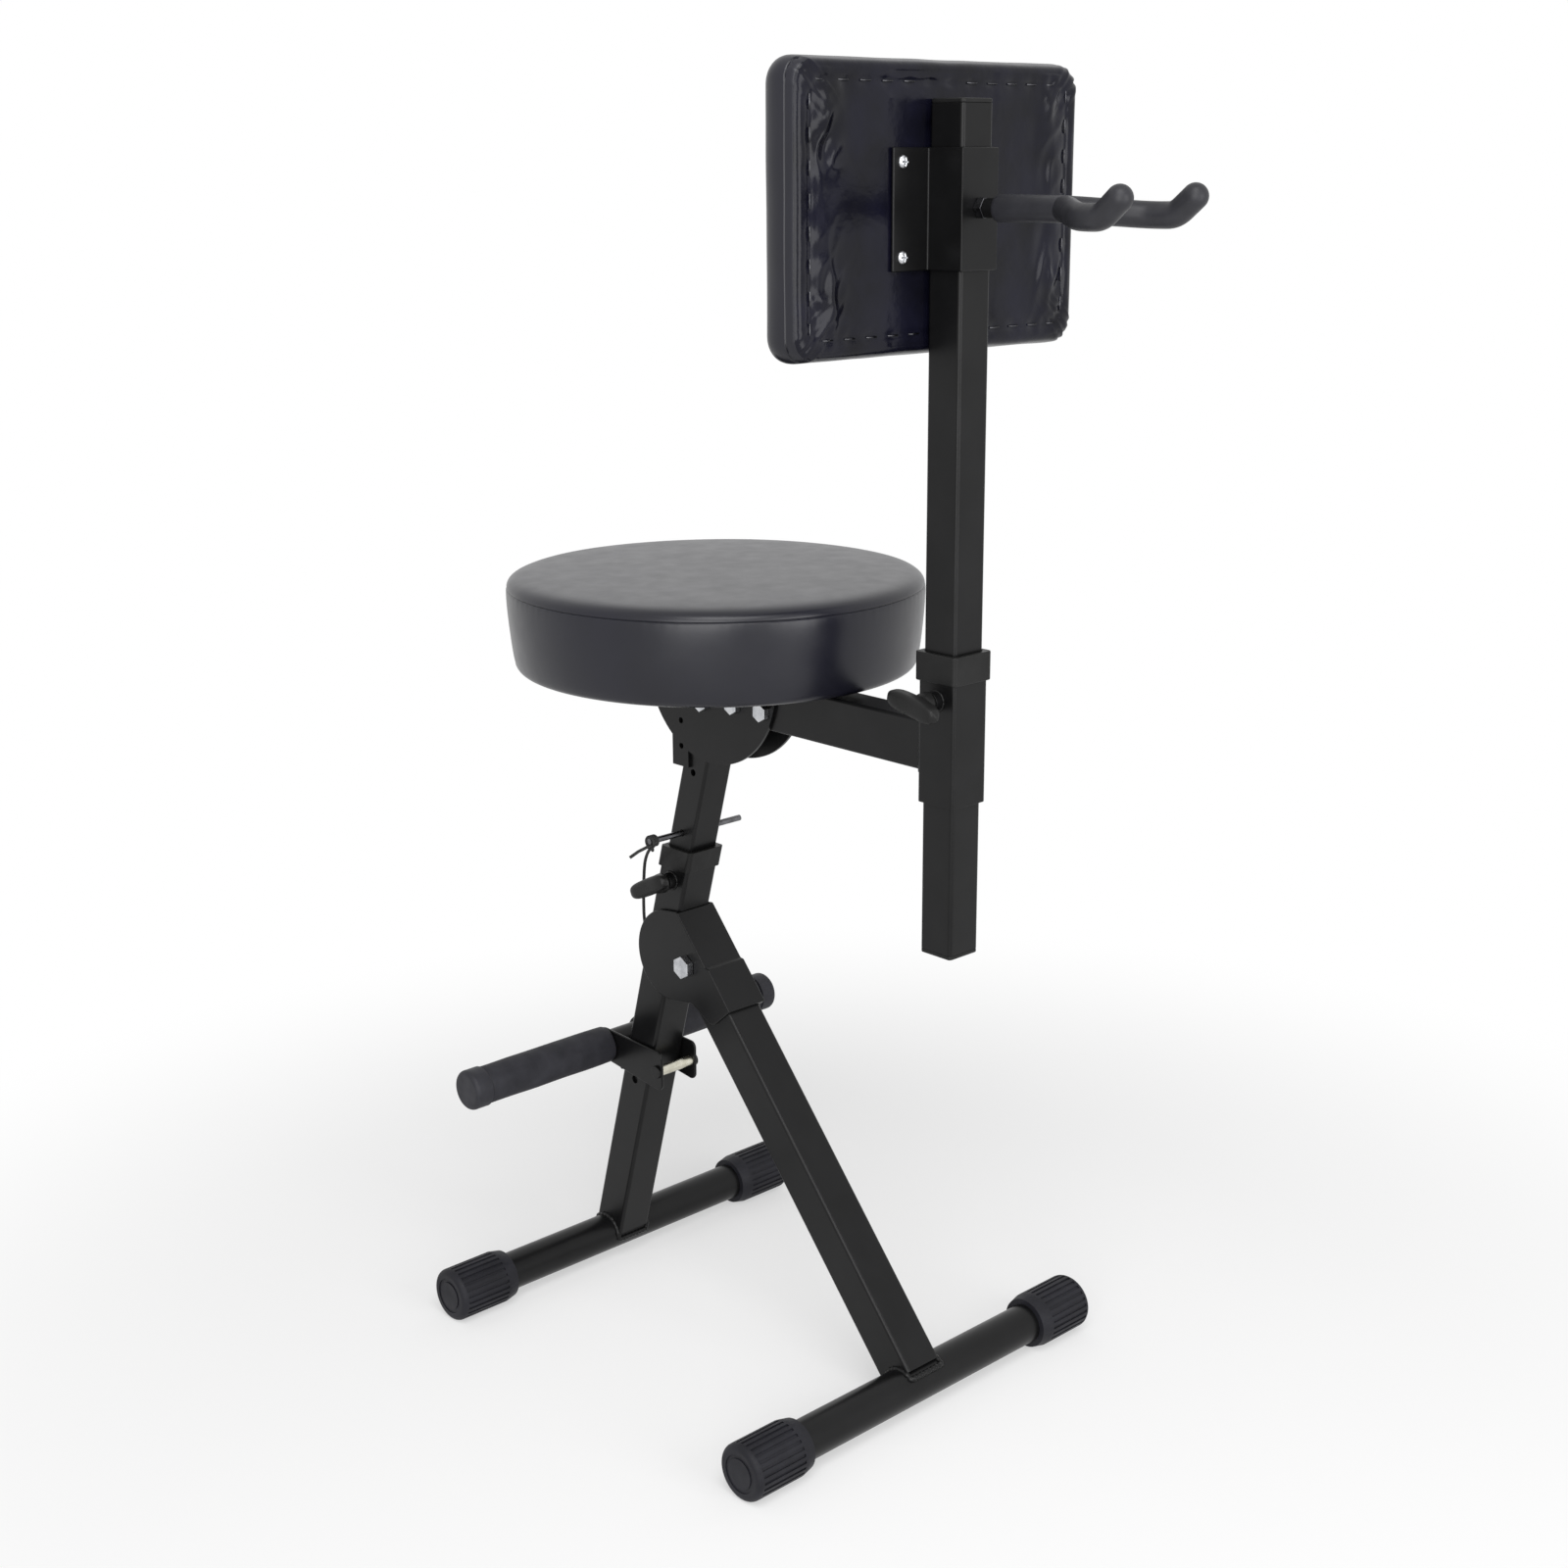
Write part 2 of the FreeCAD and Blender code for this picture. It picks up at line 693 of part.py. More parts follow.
bracket_solid = bracket_solid.fuse(front_web).removeSplitter()
for y, z in bolt_spots:
    bracket_solid = bracket_solid.cut(rod_x(-past, past, y, z, bracket_bolt_d))
for drop in (tab_hole_1, tab_hole_2):
    bracket_solid = bracket_solid.cut(rod_x(-past, past, (tab_y0 + tab_y1) / 2.0, plate_z - drop, tab_hole_d))
pieces["seat_bracket"] = bracket_solid

bolts = []
nuts = []
for y, z in bolt_spots:
    b = rod_x(-moon_out - bracket_nut_h - bracket_bolt_tail, moon_out, y, z, bracket_bolt_d)
    b = b.fuse(hexagon_x(moon_out, moon_out + bracket_bolt_head_h, y, z, bracket_bolt_af))
    bolts.append(b.removeSplitter())
    n = hexagon_x(-moon_out - bracket_nut_h, -moon_out, y, z, bracket_bolt_af)
    nuts.append(n.cut(rod_x(-past, past, y, z, bracket_bolt_d)))
pieces["bracket_bolts"] = Part.makeCompound(bolts)
pieces["bracket_nuts"] = Part.makeCompound(nuts)

# steel plate under the seat board, with its screws
seat_plate = block(-seat_plate_x / 2, seat_plate_x / 2, moon_y - seat_plate_y / 2,
                   moon_y + seat_plate_y / 2, plate_z, seat_bottom_z)
board = rod_z(seat_bottom_z, seat_bottom_z + seat_board_t, 0, seat_y, seat_board_d)
screws = []
for sx in (1, -1):
    for sy in (1, -1):
        x = sx * seat_screw_x
        y = moon_y + sy * seat_screw_y
        shank = rod_z(plate_z, seat_bottom_z + seat_screw_len, x, y, seat_screw_d)
        head = rod_z(plate_z - seat_screw_head_h, plate_z, x, y, seat_screw_head_d)
        screws.append(shank.fuse(head).removeSplitter())
        seat_plate = seat_plate.cut(shank)
        board = board.cut(shank)
pieces["seat_plate"] = seat_plate
pieces["seat_screws"] = Part.makeCompound(screws)
pieces["seat_board"] = board

# seat cushion: crowned top, bulging side drawn in under the board
r_max = seat_d / 2.0
r_top = r_max - seat_shoulder
r_low = r_max - seat_draw_in
r_rec = seat_board_d / 2.0 + cushion_gap
z_rec = seat_bottom_z + seat_board_t + cushion_gap
z_mid = seat_bottom_z + seat_bulge_up
r_rim = r_top - seat_edge_in
rim_z = seat_top_z + seat_edge_up
crown_z = rim_z + seat_crown
crown_r = (r_rim * r_rim + seat_crown * seat_crown) / (2.0 * seat_crown)
half_a = math.asin(r_rim / crown_r) / 2.0
crown_mid = V(crown_r * math.sin(half_a), 0, crown_z - crown_r * (1 - math.cos(half_a)))
edge_mid = V(r_rim + seat_edge_in * math.sqrt(0.5), 0, seat_top_z + seat_edge_up * math.sqrt(0.5))
corner = V(r_low, 0, seat_bottom_z + seat_lip)
under = V(r_low - seat_lip, 0, seat_bottom_z)
k45 = seat_lip * math.sqrt(0.5)
under_mid = V(r_low - seat_lip + k45, 0, seat_bottom_z + seat_lip - k45)
cushion_edges = [
    Part.LineSegment(V(0, 0, z_rec), V(r_rec, 0, z_rec)).toShape(),
    Part.LineSegment(V(r_rec, 0, z_rec), V(r_rec, 0, seat_bottom_z)).toShape(),
    Part.LineSegment(V(r_rec, 0, seat_bottom_z), under).toShape(),
    Part.Arc(under, under_mid, corner).toShape(),
    Part.Arc(corner, V(r_max, 0, z_mid), V(r_top, 0, seat_top_z)).toShape(),
    Part.Arc(V(r_top, 0, seat_top_z), edge_mid, V(r_rim, 0, rim_z)).toShape(),
    Part.Arc(V(r_rim, 0, rim_z), crown_mid, V(0, 0, crown_z)).toShape(),
    Part.LineSegment(V(0, 0, crown_z), V(0, 0, z_rec)).toShape()]
cushion = Part.Face(Part.Wire(cushion_edges)).revolve(V(0, 0, 0), V(0, 0, 1), 360)
cushion.translate(V(0, seat_y, 0))
pieces["seat_cushion"] = cushion

# arm from the seat bracket to the sleeve
sleeve_front = pole_y - sleeve_w / 2.0
arm_w = post_w
arm = square_tube(arm_w, arm_h, arm_wall, arm_corner_r, moon_y + arm_front, sleeve_front)
arm.rotate(V(0, 0, 0), V(1, 0, 0), -90)
arm.translate(V(0, 0, plate_z - arm_h / 2.0))
for y, z in bolt_spots[1:]:
    arm = arm.cut(rod_x(-past, past, y, z, bracket_bolt_d))
pieces["backrest_arm"] = arm

# sleeve and its collar
sleeve = square_tube(sleeve_w, sleeve_w, sleeve_wall, sleeve_corner_r, sleeve_z0, sleeve_z1)
sleeve.translate(V(0, pole_y, 0))
sleeve = sleeve.cut(rod_x(0, past, pole_y, pole_clamp_z, clamp_wall_hole_d))
pieces["pole_sleeve"] = sleeve
sleeve_collar_w = sleeve_w + 2 * sleeve_collar_wall
s_collar = square_bar(sleeve_collar_w, sleeve_collar_w, sleeve_collar_corner_r,
                      sleeve_collar_z0, sleeve_collar_z1)
s_collar = s_collar.cut(square_bar(sleeve_w, sleeve_w, sleeve_corner_r, sleeve_collar_z0 - past, sleeve_z1))
s_open = pole_w + 2 * sleeve_collar_gap
s_collar = s_collar.cut(square_bar(s_open, s_open, pole_corner_r, sleeve_z1 - past, sleeve_collar_z1 + past))
s_collar.translate(V(0, pole_y, 0))
pieces["sleeve_collar"] = s_collar
sleeve_half = sleeve_w / 2.0
p_boss = rod_x(sleeve_half, sleeve_half + boss_len, pole_y, pole_clamp_z, boss_d)
pieces["pole_clamp_boss"] = p_boss.cut(rod_x(0, past, pole_y, pole_clamp_z, clamp_d + 2 * clamp_fit))

# backrest pole and its end plugs
pole = square_tube(pole_w, pole_w, pole_wall, pole_corner_r, pole_z0 + pole_plug_t, pole_z1 - pole_plug_t)
pole.translate(V(0, pole_y, 0))
plug_w = pole_w - 2 * pole_wall
plug_r = max(pole_corner_r - pole_wall, least_corner_r)
top_plug = square_bar(pole_w, pole_w, pole_corner_r, pole_z1 - pole_plug_t, pole_z1)
plug_z1 = pole_z1 - pole_plug_t
plug_z0 = pole_z0 + pole_plug_t
top_plug = top_plug.fuse(square_bar(plug_w, plug_w, plug_r, pole_z1 - pole_plug_depth, plug_z1))
low_plug = square_bar(pole_w, pole_w, pole_corner_r, pole_z0, pole_z0 + pole_plug_t)
low_plug = low_plug.fuse(square_bar(plug_w, plug_w, plug_r, plug_z0, pole_z0 + pole_plug_depth))
top_plug.translate(V(0, pole_y, 0))
low_plug.translate(V(0, pole_y, 0))
pieces["pole_top_plug"] = top_plug
pieces["pole_bottom_plug"] = low_plug

# hat strap that ties the pad to the pole
panel_back = pole_y - pole_w / 2.0 - pad_pole_gap
pad_back_y = panel_back - pad_panel_t - cushion_gap
flange_back = panel_back + strap_t
pole_back = pole_y + pole_w / 2.0
strap_in = pole_w / 2.0 + strap_gap
strap_out = strap_in + strap_t
strap_half = strap_out + strap_flange
strap_screw_x = strap_half - strap_screw_edge
web_y0 = pole_back + strap_gap
web_y1 = web_y0 + strap_t
sz0 = pad_z - strap_h / 2.0
sz1 = pad_z + strap_h / 2.0
strap = block(-strap_out, strap_out, web_y0, web_y1, sz0, sz1)
for side in (1, -1):
    xs = sorted((side * strap_in, side * strap_out))
    strap = strap.fuse(block(xs[0], xs[1], panel_back, web_y1, sz0, sz1))
    xf = sorted((side * strap_in, side * strap_half))
    strap = strap.fuse(block(xf[0], xf[1], panel_back, flange_back, sz0, sz1))
strap = strap.removeSplitter()

# pad: board in a crowned cushion, closed by a thin back panel
pad_screws = []
pad_board_w = pad_w - 2 * pad_board_margin
pad_board_h = pad_h - 2 * pad_board_margin


def upright_slab(w, h, r, y_back, t):
    # a rounded slab standing upright, from y_back forwards by its thickness
    slab = square_bar(w, h, r, 0, t)
    slab.rotate(V(0, 0, 0), V(1, 0, 0), 90)
    slab.translate(V(0, y_back, pad_z))
    return slab


pad_board = upright_slab(pad_board_w, pad_board_h, pad_board_r, pad_back_y, pad_board_t)
panel = upright_slab(pad_w - 2 * pad_panel_margin, pad_h - 2 * pad_panel_margin, pad_panel_r,
                     panel_back, pad_panel_t)
for sx in (1, -1):
    for sz in (1, -1):
        x = sx * strap_screw_x
        z = pad_z + sz * strap_screw_dz
        shank = rod_y(pad_back_y - strap_screw_depth, flange_back, x, z, strap_screw_d)
        head = rod_y(flange_back, flange_back + strap_screw_head_h, x, z, strap_screw_head_d)
        pad_screws.append(shank.fuse(head).removeSplitter())
        strap = strap.cut(shank)
        pad_board = pad_board.cut(shank)
        panel = panel.cut(shank)
hook_z = pad_z + hook_up
stud_y0 = pole_back - hook_stud_in
hook_stud_end_y = web_y1 + hook_stud_out
stud_full = rod_y(stud_y0, hook_stud_end_y, 0, hook_z, hook_stud_d)
pieces["backrest_strap"] = strap.cut(stud_full)
pieces["backrest_pole"] = pole.cut(stud_full)
pieces["backrest_screws"] = Part.makeCompound(pad_screws)
pieces["backrest_board"] = pad_board
pieces["backrest_back_panel"] = panel

sections = []
for share, inset in pad_sections:
    back = share * pad_depth
    corner_r = max(pad_corner_r - inset * pad_corner_fade, pad_corner_least)
    sections.append(rounded_rect(pad_w - 2 * inset, pad_h - 2 * inset, corner_r, back))
pad = Part.makeLoft(sections, True, True)
pad.rotate(V(0, 0, 0), V(1, 0, 0), 90)
pad.translate(V(0, pad_back_y, pad_z))
recess = upright_slab(pad_board_w + 2 * cushion_gap, pad_board_h + 2 * cushion_gap,
                      pad_board_r + cushion_gap, pad_back_y + past, pad_board_t + cushion_gap + past)
pad = pad.cut(recess)
pieces["backrest_cushion"] = pad

# hook stud and jam nut
pieces["hook_stud"] = stud_full
h_nut = hexagon_y(web_y1, web_y1 + hook_nut_h, 0, hook_z, hook_nut_af)
pieces["hook_nut"] = h_nut.cut(stud_full)

# hook: stem with two bent prongs, each covered in foam
hook_stem_y0 = web_y1 + hook_nut_h + hook_nut_gap
hook_stem_y1 = hook_stem_y0 + hook_stem_len
hook_foam_y0 = hook_stem_y0 + hook_bare
hook_foam_y1 = hook_stem_y1 + hook_foam_lap
stem = rod_y(hook_stem_y0, hook_stem_y1, 0, hook_z, hook_stem_d)
yoke = stem
foams = {}
for side, name in ((1, "hook_left_foam"), (-1, "hook_right_foam")):
    path = [V(0, hook_stem_y1 - 2 * prong_fork, hook_z), V(0, hook_stem_y1 + prong_fork, hook_z),
            V(side * prong_out_x, hook_stem_y1 + prong_out, hook_z - prong_dip),
            V(side * prong_run_x, hook_stem_y1 + prong_run, hook_z - prong_dip),
            V(side * prong_tip_x, hook_stem_y1 + prong_tip, hook_z + prong_rise)]
    rod, rod_len, rod_radii = swept_rod(path, hook_rod_d)
    foam, foam_len, foam_radii = swept_rod(path, prong_foam_d)
    yoke = yoke.fuse(rod)
    xs = sorted((side * prong_split, side * past))
    keep = block(xs[0], xs[1], hook_foam_y1, hook_foam_y1 + past, hook_z - past, hook_z + past)
    foams[name] = foam.common(keep)
yoke = yoke.removeSplitter()
yoke = yoke.cut(rod_y(hook_stem_y0 - past, hook_stud_end_y + hook_bore_over, 0, hook_z,
                      hook_stud_d + 2 * hook_fit))
pieces["hook_yoke"] = yoke
for name in foams:
    pieces[name] = foams[name].cut(yoke)
stem_foam = rod_y(hook_foam_y0, hook_foam_y1, 0, hook_z, hook_foam_d)
stem_foam = stem_foam.cut(rod_y(hook_foam_y0 - past, hook_stem_y1, 0, hook_z, hook_stem_d))
pieces["hook_stem_foam"] = stem_foam.cut(yoke)

# footrest bracket: cheeks beside the leg, a web in front of it, ears behind it
ck_in = leg_half + cheek_gap
ck_out = ck_in + cheek_t
foot_pts = [(footrest_y, footrest_z + cheek_nose_r),
            (ear_pin.y + ear_back, ear_pin.z + ear_top),
            (ear_pin.y + ear_back, ear_pin.z - ear_low),
            (footrest_y, footrest_z - cheek_nose_r)]
foot_bracket = None
for side in (1, -1):
    x0 = min(side * ck_in, side * ck_out)
    cheek = plate_yz(foot_pts, x0, x0 + cheek_t)
    ears = [e for e in cheek.Edges if abs(e.CenterOfMass.y - ear_pin.y - ear_back) < 0.01
            and e.BoundBox.ZLength < 0.01]
    cheek = cheek.makeFillet(ear_round, ears)
    nose = Part.makeCylinder(cheek_nose_r, cheek_t, V(x0, footrest_y, footrest_z), V(1, 0, 0))
    cheek = cheek.fuse(nose).removeSplitter()
    foot_bracket = cheek if foot_bracket is None else foot_bracket.fuse(cheek)
web_s = footrest_s
web_front = -leg_half - web_gap
foot_web = lean(block(-ck_in, ck_in, web_front - web_t, web_front, web_s - web_h / 2.0, web_s + web_h / 2.0))
foot_bracket = foot_bracket.fuse(foot_web).removeSplitter()
footrest_bar_half = footrest_bar_len / 2.0
foot_bar = rod_x(-footrest_bar_half, footrest_bar_half, footrest_y, footrest_z, footrest_bar_d)
foot_pin = rod_x(-ck_out, ck_out, ear_pin.y, ear_pin.z, footrest_rivet_d)
foot_bracket = foot_bracket.cut(foot_bar).cut(foot_pin)
pieces["footrest_bracket"] = foot_bracket
spacer = rod_x(-ck_in, ck_in, ear_pin.y, ear_pin.z, footrest_spacer_d)
pieces["footrest_spacer"] = spacer.cut(foot_pin)
for x0 in (ck_out, -ck_out - footrest_rivet_head_h):
    foot_pin = foot_pin.fuse(rod_x(x0, x0 + footrest_rivet_head_h, ear_pin.y, ear_pin.z,
                                   footrest_rivet_head_d))
pieces["footrest_rivet"] = foot_pin.removeSplitter()
foot_bore = footrest_bar_d - 2 * footrest_bar_wall
pieces["footrest_bar"] = foot_bar.cut(
    rod_x(-past, past, footrest_y, footrest_z, foot_bore))
for side, name in ((1, "left"), (-1, "right")):
    xs = sorted((side * grip_inner_x, side * grip_outer_x))
    grip = rod_x(xs[0], xs[1], footrest_y, footrest_z, grip_d).cut(foot_bar)
    pieces["footrest_grip_" + name] = grip
    xc = sorted((side * grip_outer_x, side * footrest_cap_end_x))
    cap = rod_x(xc[0], xc[1], footrest_y, footrest_z, footrest_cap_d)
    rims = []
    for e in cap.Edges:
        if abs(e.BoundBox.XMin - side * footrest_cap_end_x) < 0.01 and e.BoundBox.XLength < 0.01:
            rims.append(e)
    cap = cap.makeFillet(footrest_cap_round, rims)
    pieces["footrest_cap_" + name] = cap.cut(foot_bar)


# clamp screws and wing knobs
def clamp(tip_x, boss_end, y, z, angle):
    hub0 = boss_end + knob_gap
    wing0 = hub0 + knob_hub_len
    wing1 = wing0 + knob_wing_h
    screw_end = hub0 + knob_bore_len
    screw = rod_x(tip_x, screw_end, y, z, clamp_d)
    hub = rod_x(hub0, wing1 - knob_hub_drop, y, z, knob_hub_d)
    reach = knob_wing_len / 2.0 - knob_wing_t / 2.0
    wing = block(wing0, wing1, -reach, reach, -knob_wing_t / 2.0, knob_wing_t / 2.0)
    for sy in (1, -1):
        wing = wing.fuse(rod_x(wing0, wing1, sy * reach, 0, knob_wing_t))
    wing.rotate(V(0, 0, 0), V(1, 0, 0), angle)
    wing.translate(V(0, y, z))
    knob = hub.fuse(wing).removeSplitter()
    knob = knob.cut(rod_x(0, screw_end + knob_bore_over, y, z, clamp_d + 2 * clamp_fit))
    return screw, knob


screw, knob = clamp(post_w / 2.0 + clamp_tip_gap, leg_half + boss_len, clamp_p.y, clamp_p.z, seat_knob_deg)
pieces["seat_clamp_screw"] = screw
pieces["seat_clamp_knob"] = knob
screw, knob = clamp(pole_w / 2.0 + clamp_tip_gap, sleeve_half + boss_len,
                    pole_y, pole_clamp_z, pole_knob_deg)
pieces["pole_clamp_screw"] = screw
pieces["pole_clamp_knob"] = knob

# locking pin and its tether
pin_p = leg_point(pin_s)
pin = rod_x(pin_right_x, pin_left_x, pin_p.y, pin_p.z, pin_d)
pieces["locking_pin"] = pin.cut(rod_z(pin_p.z - pin_d, pin_p.z + pin_d, pin_eye_x, pin_p.y, pin_eye_d))
cord_pts = [V(pin_eye_x, pin_p.y, pin_p.z - pin_d / 2.0 - cord_pin_gap)]
for x, drop, clear in cord_run:
    cord_pts.append(leg_point(pin_s - drop, -leg_half - clear, x))
cord_pts.append(leg_point(pin_s - cord_end_drop, -leg_half - cord_d / 2.0 - cord_seat_gap, cord_end_x))
cord, cord_len, cord_radii = swept_rod(cord_pts, cord_d)
pieces["tether_cord"] = cord
section = math.pi * cord_d * cord_d / 4.0
print("cord radii", [round(r, 1) for r in cord_radii], "length", round(cord_len, 1),
      "volume ratio", round(cord.Volume / (section * cord_len), 4))

# centre the box on the origin along Y, then write one file per piece
y_lo = min(pieces[n].optimalBoundingBox().YMin for n in ("seat_cushion", "front_foot_cap_left"))
y_hi = max(pieces[n].optimalBoundingBox().YMax for n in ("hook_left_foam", "hook_right_foam"))
shift_y = -(y_lo + y_hi) / 2.0
for name in pieces:
    shape = pieces[name]
    shape.translate(V(0, shift_y, 0))
    shape.exportStep("parts/" + name + ".step")
print("shift_y", round(shift_y, 4), "box y", round(y_lo + shift_y, 3), round(y_hi + shift_y, 3))
print("pieces", len(pieces), "hinge", hinge_p, "rear deg", round(rear_deg, 3))
print("clamp", clamp_p, "pin", pin_p, "bar z", bar_z)
for name in pieces:
    s = pieces[name]
    if not s.isValid() or s.Volume < 1.0:
        print("check", name, s.isValid(), round(s.Volume, 2), len(s.Solids))
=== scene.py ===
import json
import math
import random
import bpy
from mathutils import Matrix, Vector, noise


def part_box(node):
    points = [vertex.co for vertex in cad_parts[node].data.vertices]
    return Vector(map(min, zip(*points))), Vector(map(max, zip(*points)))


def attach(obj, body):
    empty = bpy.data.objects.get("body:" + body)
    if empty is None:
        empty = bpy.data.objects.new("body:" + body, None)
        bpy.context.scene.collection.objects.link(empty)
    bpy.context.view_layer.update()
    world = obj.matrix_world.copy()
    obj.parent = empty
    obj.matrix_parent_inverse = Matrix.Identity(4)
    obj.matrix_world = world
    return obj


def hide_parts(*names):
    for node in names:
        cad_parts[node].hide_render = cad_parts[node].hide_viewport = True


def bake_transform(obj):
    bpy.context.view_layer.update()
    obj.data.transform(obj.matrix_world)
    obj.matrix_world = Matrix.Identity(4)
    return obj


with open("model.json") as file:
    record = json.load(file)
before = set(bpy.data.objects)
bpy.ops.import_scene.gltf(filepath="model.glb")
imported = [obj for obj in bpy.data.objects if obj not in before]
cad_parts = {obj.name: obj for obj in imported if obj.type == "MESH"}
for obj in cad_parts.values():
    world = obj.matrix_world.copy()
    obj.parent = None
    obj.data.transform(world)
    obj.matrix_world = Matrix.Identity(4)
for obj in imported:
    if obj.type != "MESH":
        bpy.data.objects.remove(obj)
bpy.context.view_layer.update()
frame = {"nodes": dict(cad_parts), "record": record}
nodes = frame["nodes"]
scene = bpy.context.scene
scene.view_settings.view_transform = "Standard"
MM = 0.001

# camera: place and angles that fit the photograph's frame of 1600 by 1600
CAMERA_AT = Vector((1.136681, 1.159105, 0.948225))
CAMERA_AZIMUTH = 136.881
CAMERA_PITCH = 15.715
CAMERA_ROLL = -0.315
FOCAL_PX = 2262.4
FRAME_PX = 1600.0
SENSOR_MM = 36.0


def add_camera():
    a = math.radians(CAMERA_AZIMUTH)
    e = math.radians(CAMERA_PITCH)
    roll = math.radians(CAMERA_ROLL)
    back = Vector((math.sin(a) * math.cos(e), -math.cos(a) * math.cos(e), math.sin(e)))
    level = Vector((math.cos(a), math.sin(a), 0))
    upright = back.cross(level)
    right = level * math.cos(roll) + upright * math.sin(roll)
    up = back.cross(right)
    data = bpy.data.cameras.new("camera")
    data.sensor_width = SENSOR_MM
    data.lens = SENSOR_MM * FOCAL_PX / FRAME_PX
    camera = bpy.data.objects.new("camera", data)
    scene.collection.objects.link(camera)
    turn = Matrix((right, up, back)).transposed().to_4x4()
    camera.matrix_world = Matrix.Translation(CAMERA_AT) @ turn
    scene.camera = camera


# the part of its range that a noise texture mostly covers
NOISE_LOW = 0.3
NOISE_HIGH = 0.7


class Shader:
    """A principled material with a few procedural helpers, in object coordinates."""

    def __init__(self, name, colour, rough, specular, metal=0.0):
        self.mat = bpy.data.materials.new(name)
        self.mat.use_nodes = True
        self.tree = self.mat.node_tree
        self.bsdf = self.tree.nodes["Principled BSDF"]
        self.bsdf.inputs["Base Color"].default_value = (*colour, 1)
        self.bsdf.inputs["Roughness"].default_value = rough
        self.bsdf.inputs["Specular IOR Level"].default_value = specular
        self.bsdf.inputs["Metallic"].default_value = metal
        self.coords = self.tree.nodes.new("ShaderNodeTexCoord").outputs["Object"]
        self.normal = None

    def link(self, a, b):
        self.tree.links.new(a, b)

    def stretched(self, scale):
        mapping = self.tree.nodes.new("ShaderNodeMapping")
        mapping.inputs["Scale"].default_value = scale
        self.link(self.coords, mapping.inputs["Vector"])
        return mapping.outputs["Vector"]

    def noise(self, scale, detail=3.0, stretch=None):
        node = self.tree.nodes.new("ShaderNodeTexNoise")
        node.inputs["Scale"].default_value = scale
        node.inputs["Detail"].default_value = detail
        self.link(self.stretched(stretch) if stretch else self.coords, node.inputs["Vector"])
        return node.outputs["Fac"]

    def cells(self, scale):
        node = self.tree.nodes.new("ShaderNodeTexVoronoi")
        node.feature = "DISTANCE_TO_EDGE"
        node.inputs["Scale"].default_value = scale
        self.link(self.coords, node.inputs["Vector"])
        return node.outputs["Distance"]

    def colour(self, source, low, high):
        node = self.tree.nodes.new("ShaderNodeValToRGB")
        stops = node.color_ramp.elements
        stops[0].position = NOISE_LOW
        stops[1].position = NOISE_HIGH
        stops[0].color = (*low, 1)
        stops[1].color = (*high, 1)
        self.link(source, node.inputs["Fac"])
        self.link(node.outputs["Color"], self.bsdf.inputs["Base Color"])

    def rough(self, source, low, high):
        node = self.tree.nodes.new("ShaderNodeMapRange")
        node.inputs["From Min"].default_value = NOISE_LOW
        node.inputs["From Max"].default_value = NOISE_HIGH
        node.inputs["To Min"].default_value = low
        node.inputs["To Max"].default_value = high
        self.link(source, node.inputs["Value"])
        self.link(node.outputs["Result"], self.bsdf.inputs["Roughness"])

    def bump(self, source, strength, depth_mm):
        node = self.tree.nodes.new("ShaderNodeBump")
        node.inputs["Strength"].default_value = strength
        node.inputs["Distance"].default_value = depth_mm * MM
        self.link(source, node.inputs["Height"])
        if self.normal is not None:
            self.link(self.normal, node.inputs["Normal"])
        self.normal = node.outputs["Normal"]
        self.link(self.normal, self.bsdf.inputs["Normal"])


def grey(value, tint=0.0):
    return (value, value, value * (1 + tint))


def powder_coat():
    s = Shader("powder_coat", grey(0.004), rough=0.33, specular=0.22)
    s.colour(s.noise(35), grey(0.003, tint=0.06), grey(0.005, tint=0.06))
    s.rough(s.noise(18, detail=5), 0.28, 0.38)
    s.bump(s.noise(750, detail=2), strength=0.12, depth_mm=0.1)
    return s.mat


def vinyl_cover():
    s = Shader("vinyl_cover", grey(0.005), rough=0.32, specular=0.43)
    s.colour(s.noise(14, detail=5), grey(0.004, tint=1.0), grey(0.006, tint=1.0))
    s.rough(s.noise(60, detail=4), 0.29, 0.34)
    s.bump(s.cells(700), strength=0.2, depth_mm=0.12)
    return s.mat


def back_vinyl():
    s = Shader("back_vinyl", grey(0.003), rough=0.2, specular=0.22)
    s.colour(s.noise(30, detail=6), grey(0.0012, tint=1.4), grey(0.005, tint=1.4))
    s.rough(s.noise(40, detail=5), 0.15, 0.25)
    s.bump(s.noise(120, detail=5), strength=0.45, depth_mm=0.6)
    s.bump(s.cells(800), strength=0.2, depth_mm=0.12)
    return s.mat


def moulded_rubber():
    s = Shader("moulded_rubber", grey(0.012), rough=0.55, specular=0.2)
    s.colour(s.noise(45, detail=4), grey(0.009, tint=0.3), grey(0.016, tint=0.3))
    s.rough(s.noise(60, detail=3), 0.45, 0.62)
    s.bump(s.noise(1300, detail=3), strength=0.25, depth_mm=0.14)
    return s.mat


def moulded_plastic():
    s = Shader("moulded_plastic", grey(0.008), rough=0.42, specular=0.2)
    s.colour(s.noise(40, detail=4), grey(0.006), grey(0.011))
    s.rough(s.noise(90, detail=3), 0.34, 0.48)
    s.bump(s.noise(1700, detail=2), strength=0.22, depth_mm=0.1)
    return s.mat


def satin_plastic():
    s = Shader("satin_plastic", grey(0.024), rough=0.5, specular=0.2)
    s.colour(s.noise(60, detail=4), grey(0.02, tint=0.2), grey(0.032, tint=0.2))
    s.rough(s.noise(90, detail=3), 0.45, 0.6)
    s.bump(s.noise(900, detail=2), strength=0.2, depth_mm=0.12)
    return s.mat


